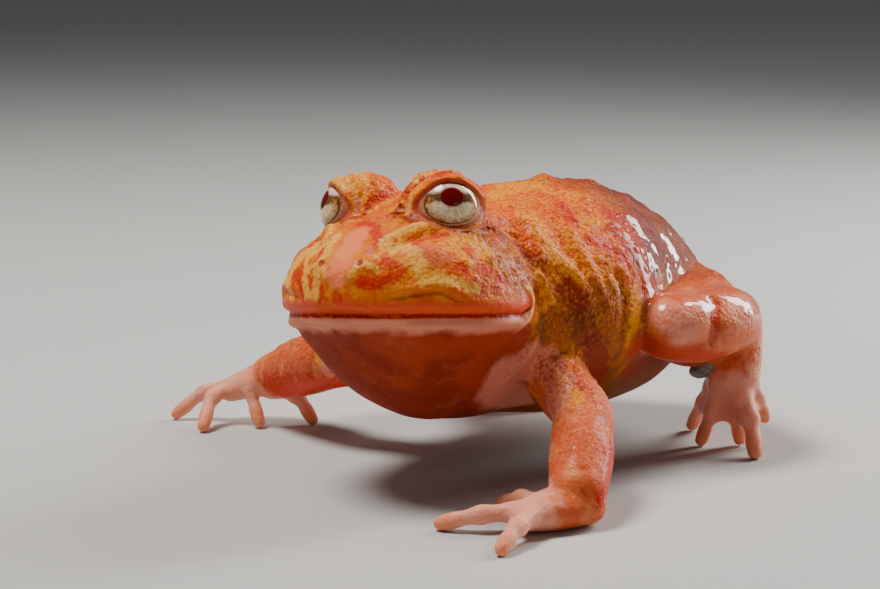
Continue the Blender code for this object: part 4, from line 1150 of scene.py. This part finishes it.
class Wiring:
    """Adds nodes to one tree, each input given as a socket to link or as a plain value."""

    def __init__(self, tree):
        self.tree = tree

    def fill(self, node, inputs):
        """Links or sets a node's inputs."""
        for key, value in inputs.items():
            if isinstance(value, bpy.types.NodeSocket):
                self.tree.links.new(value, node.inputs[key])
            else:
                node.inputs[key].default_value = value
        return node

    def add(self, kind, inputs, **settings):
        """A new node of a kind, with its settings and inputs."""
        node = self.tree.nodes.new("ShaderNode" + kind)
        for name, value in settings.items():
            setattr(node, name, value)
        return self.fill(node, inputs)

    def group(self, name, **inputs):
        """One use of a shared effect."""
        return self.add("Group", inputs, node_tree=bpy.data.node_groups[name])

    def sums(self, operation, a, b=0.0, c=0.0):
        """The result of one Math node."""
        return self.add("Math", {0: a, 1: b, 2: c}, operation=operation).outputs[0]

    def times(self, product, *factors):
        """The product of all the values."""
        for factor in factors:
            product = self.sums("MULTIPLY", product, factor)
        return product

    def scaled(self, value, factor, start):
        """The value times a factor, added to a start."""
        return self.sums("MULTIPLY_ADD", value, factor, start)

    def ramp(self, value, low, high):
        """0 below low and 1 above high, eased between."""
        return self.add("MapRange", {"Value": value, "From Min": low, "From Max": high},
                        interpolation_type="SMOOTHSTEP").outputs[0]

    def mix(self, factor, a, b, blend="MIX"):
        """Colour b laid over colour a, or multiplied into it."""
        return self.add("Mix", {0: factor, 6: a, 7: b}, data_type="RGBA", blend_type=blend).outputs[2]

    def layers(self, *names):
        """The object's painted masks of those names."""
        return [self.add("Attribute", {}, attribute_name=name).outputs["Fac"] for name in names]

    def noise(self, place, size, detail=3.0, roughness=0.55, distortion=0.0):
        """Noise whose features are about size millimetres wide."""
        return self.add("TexNoise", {"Vector": place, "Scale": 1000 / size, "Detail": detail,
                                     "Roughness": roughness, "Distortion": distortion}).outputs["Fac"]

    def bump(self, height, strength, distance, under=None):
        """A normal that tilts with a height, over another normal if one is given."""
        inputs = {"Strength": strength, "Distance": distance, "Height": height}
        return self.add("Bump", inputs | ({"Normal": under} if under else {})).outputs[0]


def new_group(name, inputs, outputs):
    """A node group with named sockets: its wiring, its inputs' sockets and its output node."""
    tree = bpy.data.node_groups.new(name, "ShaderNodeTree")
    for label, kind, value in inputs:
        socket = tree.interface.new_socket(label, in_out="INPUT", socket_type="NodeSocket" + kind)
        if value is not None:
            socket.default_value = value
    for label, kind in outputs:
        tree.interface.new_socket(label, in_out="OUTPUT", socket_type="NodeSocket" + kind)
    given = tree.nodes.new("NodeGroupInput").outputs
    return Wiring(tree), given, tree.nodes.new("NodeGroupOutput")


def new_material(name, **constants):
    """A material with one Principled shader, its constant sockets set, and the wiring to fill it."""
    material = bpy.data.materials.new(name)
    material.use_nodes = True
    shader = material.node_tree.nodes["Principled BSDF"]
    for key, value in constants.items():
        shader.inputs[key.replace("_", " ")].default_value = value
    wiring = Wiring(material.node_tree)
    return material, shader, wiring, wiring.add("TexCoord", {}).outputs["Object"]


# %% [markdown]
# Living skin is mottled at several sizes at once, so the first group mixes three colours by noise of
# two sizes. The second lays one paint over another colour through a mask whose edge it tears with
# noise. The third makes the fine granules, which are small domes with creases between them.

# %% Shared effects


def mottle_group():
    """Three colours in clouds and smaller spots."""
    wiring, given, result = new_group(
        "mottle", [("Place", "Vector", None), ("Main", "Color", None), ("Second", "Color", None),
                   ("Third", "Color", None), ("Size", "Float", 4.0)], [("Color", "Color")])
    scale = wiring.sums("DIVIDE", 1000.0, given["Size"])
    broad = wiring.add("TexNoise", {"Vector": given["Place"], "Scale": scale, "Detail": 4.0,
                                    "Distortion": 0.6}).outputs["Fac"]
    close = wiring.add("TexNoise", {"Vector": given["Place"], "Scale": wiring.times(scale, 2.7),
                                    "Detail": 3.0, "Distortion": 0.3}).outputs["Fac"]
    first = wiring.mix(wiring.ramp(broad, 0.42, 0.62), given["Main"], given["Second"])
    spots = wiring.times(wiring.ramp(close, 0.55, 0.75), 0.75)
    wiring.fill(result, {"Color": wiring.mix(spots, first, given["Third"])})


def painted_group():
    """A paint laid over a colour through a mask with a torn edge."""
    wiring, given, result = new_group(
        "painted", [("Color", "Color", None), ("Paint", "Color", None), ("Mask", "Float", 0.0),
                    ("Place", "Vector", None), ("Size", "Float", 0.8), ("Ragged", "Float", 0.5),
                    ("Strength", "Float", 1.0)], [("Color", "Color"), ("Mask", "Float")])
    torn = wiring.add("TexNoise", {"Vector": given["Place"], "Detail": 4.0,
                                   "Scale": wiring.sums("DIVIDE", 1000.0, given["Size"])}).outputs["Fac"]
    inside = wiring.sums("MINIMUM", wiring.times(given["Mask"], 4.0), 1.0)
    edge = wiring.times(wiring.sums("SUBTRACT", torn, 0.5), given["Ragged"], inside)
    covered = wiring.ramp(wiring.sums("ADD", given["Mask"], edge), 0.25, 0.64)
    mask = wiring.times(covered, given["Strength"])
    wiring.fill(result, {"Color": wiring.mix(mask, given["Color"], given["Paint"]), "Mask": mask})


def granules_group():
    """Small domes side by side, each with a tone of its own."""
    wiring, given, result = new_group(
        "granules", [("Place", "Vector", None), ("Size", "Float", 0.5)],
        [("Height", "Float"), ("Tone", "Float")])
    wavy = wiring.add("TexNoise", {"Vector": given["Place"], "Scale": 900.0, "Detail": 2.0})
    bent = wiring.add("VectorMath", {0: wavy.outputs["Color"], 1: (0.0004, 0.0004, 0.0004)},
                      operation="MULTIPLY").outputs[0]
    moved = wiring.add("VectorMath", {0: given["Place"], 1: bent}, operation="ADD").outputs[0]
    scale = wiring.sums("DIVIDE", 1000.0, given["Size"])
    cells = wiring.add("TexVoronoi", {"Vector": moved, "Scale": scale}, feature="F1").outputs
    hump = wiring.sums("SUBTRACT", 1.0, wiring.sums("POWER", cells["Distance"], 2.0))
    wiring.fill(result, {"Height": hump,
                         "Tone": wiring.add("SeparateColor", {0: cells["Color"]}).outputs[0]})


mottle_group()
painted_group()
granules_group()
print("shared effects", sorted(group.name for group in bpy.data.node_groups))

# %% [markdown]
# The skin is thin, moist and faintly translucent, so light enters it and comes out red. One image
# would be the usual way to colour it, but paint in layers keeps every mark editable. Its ground is
# orange and ochre with red, paler and pinker on the limbs, and rusty under the throat and belly,
# where it is made darker still as painted shade. Then come the paints, each with the size of its torn
# edge in millimetres, its raggedness and its strength.

# %% The skin's colours
GROUNDS = ((light(226, 100, 8), light(230, 132, 8), light(206, 56, 6), 5.0),
           (light(210, 94, 48), light(224, 122, 70), light(192, 60, 28), 4.0),
           # The underside's ground: rusty skin, made darker as painted shade.
           (light(138, 38, 10), light(166, 54, 18), light(168, 72, 44), 7.0))
# The flank's brown is partly its own colour and partly painted shade.
PAINTS = (("shaded_flank", light(132, 66, 14), 2.4, 1.2, 0.9),
          ("olive", light(184, 96, 2), 1.6, 1.4, 0.85), ("yellow", light(238, 154, 6), 1.1, 1.8, 0.85),
          ("mauve", light(222, 100, 60), 0.9, 1.6, 0.8), ("pale", light(236, 152, 128), 3.0, 0.7, 0.65),
          ("red", light(204, 34, 3), 0.7, 1.8, 0.85), ("dark_marks_and_shade", light(142, 32, 6), 1.2, 1.6, 0.8),
          # Painted shade under the thigh and in the crease of the knee.
          ("knee_shade", light(188, 44, 14), 3.0, 0.4, 0.8),
          ("cream", light(250, 190, 74), 0.6, 1.6, 0.75), ("pink", light(248, 130, 76), 0.9, 1.0, 0.95),
          ("upper_lip", light(224, 76, 36), 1.6, 0.6, 0.95),
          ("lower_lip", light(222, 136, 108), 2.4, 0.7, 0.9), ("lid", light(172, 66, 42), 0.6, 0.9, 0.75),
          ("digit", light(242, 166, 140), 1.4, 0.8, 0.85), ("tip", light(232, 132, 84), 1.2, 0.5, 0.5),
          # Painted shade in the crease of the mouth and in the nostrils.
          ("mouth", light(170, 22, 6), 0.8, 0.5, 0.95))
# The seam and hollow tints are painted shade, and the crest colour is a painted highlight.
SEAM_SHADE_TINT, HOLLOW_SHADE_TINT, WET_TINT = light(226, 176, 160), light(205, 120, 95), light(168, 130, 130)
SPECK_COLOUR, BLOOD_COLOUR, CREST_HIGHLIGHT_COLOUR = light(246, 180, 60), light(204, 50, 20), light(238, 150, 50)
GRAIN_SIZE, FINE_GRAIN_SIZE = 0.44, 0.25


def painted_colour(wiring, place):
    """The three mottled grounds, joined by their masks, with all the paints laid over them."""
    colour, limbs, below = (wiring.group("mottle", Place=place, Main=main, Second=second, Third=third,
                                         Size=size).outputs["Color"]
                            for main, second, third, size in GROUNDS)
    grounds = (("limb", limbs, 1.5, 0.7, 1.0), ("under", below, 3.0, 0.5, 1.0))
    for name, paint_colour, size, ragged, strength in grounds + PAINTS:
        mask = wiring.layers(name)[0]
        colour = wiring.group("painted", Color=colour, Paint=paint_colour, Place=place, Mask=mask,
                              Size=size, Ragged=ragged, Strength=strength).outputs["Color"]
    return colour


def grained_colour(wiring, place, colour, grains):
    """Painted shade between granules, pale and blood-red granules among them, and painted shade and
    highlight on the warts.
    """
    rough, cavity_light_and_shade, wet = wiring.layers("rough", "cavity_light_and_shade", "wet")
    tone, height = grains.outputs["Tone"], grains.outputs["Height"]
    # Painted shade: the seams between the granules are darkened.
    seams = wiring.times(wiring.ramp(height, 0.86, 0.5), rough)
    colour = wiring.mix(seams, colour, SEAM_SHADE_TINT, "MULTIPLY")
    specks = wiring.times(wiring.ramp(tone, 0.6, 0.85), wiring.ramp(height, 0.7, 0.95), 0.26, rough)
    colour = wiring.mix(specks, colour, SPECK_COLOUR)
    patches = wiring.ramp(wiring.noise(place, 3.0), 0.45, 0.6)
    blood = wiring.times(wiring.ramp(tone, 0.22, 0.08), patches, 0.6, rough)
    colour = wiring.mix(blood, colour, BLOOD_COLOUR)
    # Painted shade darkens the hollows, and a painted highlight lightens the crests.
    colour = wiring.mix(wiring.ramp(cavity_light_and_shade, 0.02, 0.16), colour, HOLLOW_SHADE_TINT, "MULTIPLY")
    crest_highlight = wiring.times(wiring.ramp(cavity_light_and_shade, -0.03, -0.14), 0.25)
    colour = wiring.mix(crest_highlight, colour, CREST_HIGHLIGHT_COLOUR)
    return wiring.mix(wiring.times(wet, 0.85), colour, WET_TINT, "MULTIPLY")


# %% [markdown]
# The film of water on the skin is a clear coat, heaviest on rump and legs and almost absent from
# the dull belly. The granules are far smaller than the mesh's triangles, so they are a bump in the
# material, coarse on the warty back and fine everywhere, over a broad unevenness.

# %% The skin's material


def skin_material():
    material, shader, wiring, place = new_material(
        "frog_skin", Metallic=0.0, Subsurface_Weight=0.3, Subsurface_Radius=(1.0, 0.3, 0.12),
        Subsurface_Scale=0.0012, Coat_Roughness=0.08, Coat_IOR=1.5, IOR=1.4, Specular_IOR_Level=0.2)
    grains = wiring.group("granules", Place=place, Size=GRAIN_SIZE)
    fine = wiring.group("granules", Place=place, Size=FINE_GRAIN_SIZE)
    colour = grained_colour(wiring, place, painted_colour(wiring, place), grains)
    rough, slick, under = wiring.layers("rough", "slick", "under")
    dry = wiring.scaled(wiring.noise(place, 1.8), 0.24, 0.38)
    dry = wiring.scaled(under, 0.2, wiring.scaled(rough, 0.1, dry))
    damp = wiring.scaled(under, -0.07, 0.07)
    normal = wiring.bump(grains.outputs["Height"], wiring.scaled(rough, 0.7, 0.3), 0.00018)
    normal = wiring.bump(fine.outputs["Height"], wiring.scaled(under, -0.4, 0.5), 0.00007, normal)
    normal = wiring.bump(wiring.noise(place, 1.2, 2.0), 0.5, 0.00025, normal)
    wiring.fill(shader, {"Base Color": colour, "Roughness": wiring.scaled(slick, -0.26, dry),
                         "Coat Weight": wiring.scaled(slick, 0.9, damp), "Normal": normal})
    return material


def dress(body, name, material, slot, *replaced):
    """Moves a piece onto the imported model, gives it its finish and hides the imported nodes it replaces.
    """
    body.data.transform(Matrix.Translation(SHIFT) @ Matrix.Scale(0.001, 4))
    body.name = body.data.name = name
    body.data.shade_smooth()
    body.data.materials.append(material)
    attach(body, "root")
    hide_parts(*replaced)
    print(name, len(body.data.vertices), "points")


FLESH = ("head", "torso") + tuple(part + "_" + word for word in ("left", "right") for part in
                                  ("upper_arm", "forearm", "hand", "thigh", "shank", "foot"))
dress(frog, "frog_skin", skin_material(), "skin", *FLESH)

# %% [markdown]
# A frog's eye is a bright ball. A refracting cornea would darken the iris in soft light, so the ball
# is opaque and painted, with a clear coat over it. Its front bulges slightly, and masks on its
# points give the place inside the iris: across the pupil's band, along the rays, and how far from
# the pupil and from the middle of the opening.

# %% The eyeballs
PUPIL_UP, PUPIL_FORWARD, PUPIL_SIZE = 0.8, 0.1, (1.3, 1.1)
EYE_ROWS, EYE_SIDES, EYE_SHARE = 72, 96, 0.995
BULGE, BULGE_SWING = 0.012, 0.7


def face_outward(mesh, merge=0.0):
    """Turns all faces outward, after joining points that are closer than merge."""
    shape = bmesh.new()
    shape.from_mesh(mesh)
    bmesh.ops.remove_doubles(shape, verts=shape.verts, dist=merge)
    bmesh.ops.recalc_face_normals(shape, faces=shape.faces)
    shape.to_mesh(mesh)
    shape.free()


def eye_masks(spots):
    """The masks of the iris, from points with the first two numbers across the gaze."""
    forward, up = spots[:, 0] - PUPIL_FORWARD, -spots[:, 1] - PUPIL_UP
    far = np.hypot(forward, up)
    near = np.maximum(far, 1e-6)
    masks = {"pupil": np.hypot(forward / PUPIL_SIZE[0], up / PUPIL_SIZE[1]), "across": up,
             "iris_far": far, "ray_x": forward / near, "ray_y": up / near,
             "opening": np.hypot(spots[:, 0] / EYE_OPENING[0], spots[:, 1] / EYE_OPENING[1])}
    for name in ("pupil", "opening"):
        masks[name][spots[:, 2] < 0] = OUTSIDE
    return masks


def eye_ball(side):
    """A ball in the socket, with rings round its gaze and a slightly bulging front."""
    axes, centre = eye_frame(side), eye_centre(side)
    points, faces = [], []
    for row in range(EYE_ROWS + 1):
        swing = math.pi * row / EYE_ROWS
        radius = EYE_RADIUS * (EYE_SHARE + BULGE * math.exp(-(swing / BULGE_SWING) ** 2))
        for k in range(EYE_SIDES):
            turn = math.tau * k / EYE_SIDES
            points.append(centre + axes @ Vector((radius * math.sin(swing) * math.cos(turn),
                                                  radius * math.sin(swing) * math.sin(turn),
                                                  radius * math.cos(swing))))
    for row in range(EYE_ROWS):
        for k in range(EYE_SIDES):
            a, b = row * EYE_SIDES + k, row * EYE_SIDES + (k + 1) % EYE_SIDES
            faces.append((a, b, b + EYE_SIDES, a + EYE_SIDES))
    ball = new_body("ball", points, faces)
    face_outward(ball.data, merge=1e-5)
    spots = np.array([tuple(axes.transposed() @ (v.co - centre)) for v in ball.data.vertices])
    add_masks(ball, eye_masks(spots * (side, 1, 1)))
    return ball


# %% [markdown]
# The iris is silvery cream with a torn brown and gold band through the pupil, a milky upper part
# that is a painted reflection, bronze towards its lower rim and a thin dark line near the edge. Where
# the ball goes under the upper lid its rim darkens as painted shade. The pupil is a wide dark red
# oval. Flecks and rays come from noise, the rays from noise over the direction from the pupil.

# %% The eyes' material


def iris_colour(wiring, streaks, veins):
    """The colours of the iris from its middle outwards, laid one over another."""
    across, opening, pupil = wiring.layers("across", "opening", "pupil")
    iris = wiring.mix(wiring.ramp(streaks, 0.3, 0.7), light(208, 182, 130), light(250, 236, 200))
    iris = wiring.mix(wiring.ramp(veins, 0.55, 0.72), iris, light(140, 108, 62))
    wavering = wiring.sums("ADD", across, wiring.scaled(veins, 1.1, -0.55))
    off_band = wiring.ramp(wiring.sums("ABSOLUTE", wavering), 0.3, 0.95)
    gold = wiring.mix(wiring.ramp(veins, 0.36, 0.54), light(196, 118, 34), light(64, 28, 6))
    gold = wiring.mix(wiring.times(wiring.ramp(pupil, 2.7, 1.4), 0.75), gold, light(58, 26, 6))
    iris = wiring.mix(wiring.times(wiring.sums("SUBTRACT", 1.0, off_band), 0.95), iris, gold)
    # Painted reflection: the upper part of the iris is made milky.
    iris = wiring.mix(wiring.times(wiring.ramp(wavering, 0.45, 0.8), 0.85), iris, light(246, 206, 182))
    opening = wiring.sums("ADD", opening, wiring.scaled(veins, 0.12, -0.06))
    low_rim = wiring.times(wiring.ramp(opening, 0.5, 0.78), wiring.ramp(across, 0.5, -0.5), 0.8)
    bronze = wiring.mix(wiring.ramp(veins, 0.46, 0.6), light(206, 146, 62), light(110, 66, 22))
    iris = wiring.mix(low_rim, iris, bronze)
    # Painted shade: the rim of the ball darkens towards the top, under the upper lid.
    edge = wiring.mix(wiring.ramp(across, -0.6, 1.2), light(188, 110, 90), light(112, 44, 24))
    iris = wiring.mix(wiring.ramp(opening, 0.86, 0.92), iris, edge)
    line = wiring.ramp(wiring.sums("ABSOLUTE", wiring.sums("SUBTRACT", opening, 0.82)), 0.05, 0.01)
    line = wiring.times(line, wiring.ramp(across, 1.2, -0.3), 0.85)
    iris = wiring.mix(line, iris, light(74, 36, 14))
    rind = wiring.times(wiring.ramp(pupil, 1.2, 1.06), 0.6)
    iris = wiring.mix(rind, iris, light(96, 54, 20))
    return wiring.mix(wiring.ramp(pupil, 1.04, 0.98), iris, light(96, 0, 3))


def eye_material():
    material, shader, wiring, place = new_material(
        "frog_eye", Metallic=0.0, Specular_IOR_Level=0.0, Coat_Weight=1.0, Coat_Roughness=0.02,
        Coat_IOR=1.42)
    ray_x, ray_y, iris_far = wiring.layers("ray_x", "ray_y", "iris_far")
    ray = wiring.add("CombineXYZ", {0: wiring.times(ray_x, 3.0), 1: wiring.times(ray_y, 3.0),
                                    2: wiring.times(iris_far, 0.5)}).outputs[0]
    streaks = wiring.add("TexNoise", {"Vector": ray, "Scale": 3.2, "Detail": 6.0,
                                      "Roughness": 0.65}).outputs["Fac"]
    veins = wiring.noise(place, 0.34, 4.0, 0.7, 0.8)
    wiring.fill(shader, {"Base Color": iris_colour(wiring, streaks, veins),
                         "Roughness": wiring.scaled(streaks, 0.3, 0.25),
                         "Normal": wiring.bump(streaks, 0.25, 0.00005)})
    return material


iris_paint = eye_material()
for side, word in ((1, "left"), (-1, "right")):
    dress(eye_ball(side), "eyeball_" + word, iris_paint, "eye", "eye_" + word)

# %% [markdown]
# The spade is a short horny blade on the inner edge of each hind foot, which the frog digs with. It
# is a thickened crescent with a worn lower edge, dark grey and finely streaked along its length. A
# loft through thin rings gives the blade, and noise stretched along it gives the streaks.

# %% The spades
SPADE_PLACE, SPADE_RADII, SPADE_TURN = (16.2, 26.2, 10.0), (2.1, 1.0, 1.2), -22.0
SPADE_SHARE, SPADE_ROWS, SPADE_SIDES = 0.98, 32, 28
EDGE_PINCH, RIDGE_HEIGHT, RIDGES = 0.45, 0.025, (9, 3)


def spade(side):
    """A blade lofted along the foot's inner edge, thick at its root and thin at its worn edge."""
    x, y, z = SPADE_PLACE
    turn = Matrix.Rotation(math.radians(side * SPADE_TURN), 3, "Y")
    long, thick, tall = (radius * SPADE_SHARE for radius in SPADE_RADII)
    rings = []
    for row in range(1, SPADE_ROWS):
        t = -1 + 2 * row / SPADE_ROWS
        swell = math.sqrt(1 - t * t)
        ring = []
        for k in range(SPADE_SIDES):
            c, s = math.cos(math.tau * k / SPADE_SIDES), math.sin(math.tau * k / SPADE_SIDES)
            pinch = 1 - EDGE_PINCH * max(-s, 0.0)
            ridge = 1 + RIDGE_HEIGHT * math.sin(RIDGES[0] * t + RIDGES[1] * c)
            ring.append(Vector((side * x, y, z)) + turn @ Vector(
                (t * long, thick * swell * c * pinch * ridge, tall * swell * s * ridge)))
        rings.append(ring)
    clay = Clay()
    clay.loft(rings)
    blade = new_body("blade", clay.points, clay.faces)
    face_outward(blade.data)
    return blade


def spade_material():
    material, shader, wiring, place = new_material("frog_spade", Metallic=0.0, Coat_Weight=0.4,
                                                   Coat_Roughness=0.15)
    stretched = wiring.add("Mapping", {"Vector": place, "Scale": (0.25, 1.0, 1.6)}).outputs[0]
    streaks = wiring.noise(stretched, 0.25, 4.0, 0.6, 0.4)
    clouds = wiring.noise(place, 1.1)
    horn = wiring.mix(wiring.ramp(streaks, 0.38, 0.66), light(86, 82, 78), light(158, 150, 142))
    worn = wiring.mix(wiring.ramp(clouds, 0.5, 0.7), horn, light(186, 174, 160))
    wiring.fill(shader, {"Base Color": worn, "Roughness": wiring.scaled(clouds, 0.25, 0.28),
                         "Normal": wiring.bump(streaks, 0.4, 0.00005)})
    return material


horn_finish = spade_material()
for side, word in ((1, "left"), (-1, "right")):
    dress(spade(side), "spade_blade_" + word, horn_finish, "spade", "spade_" + word)
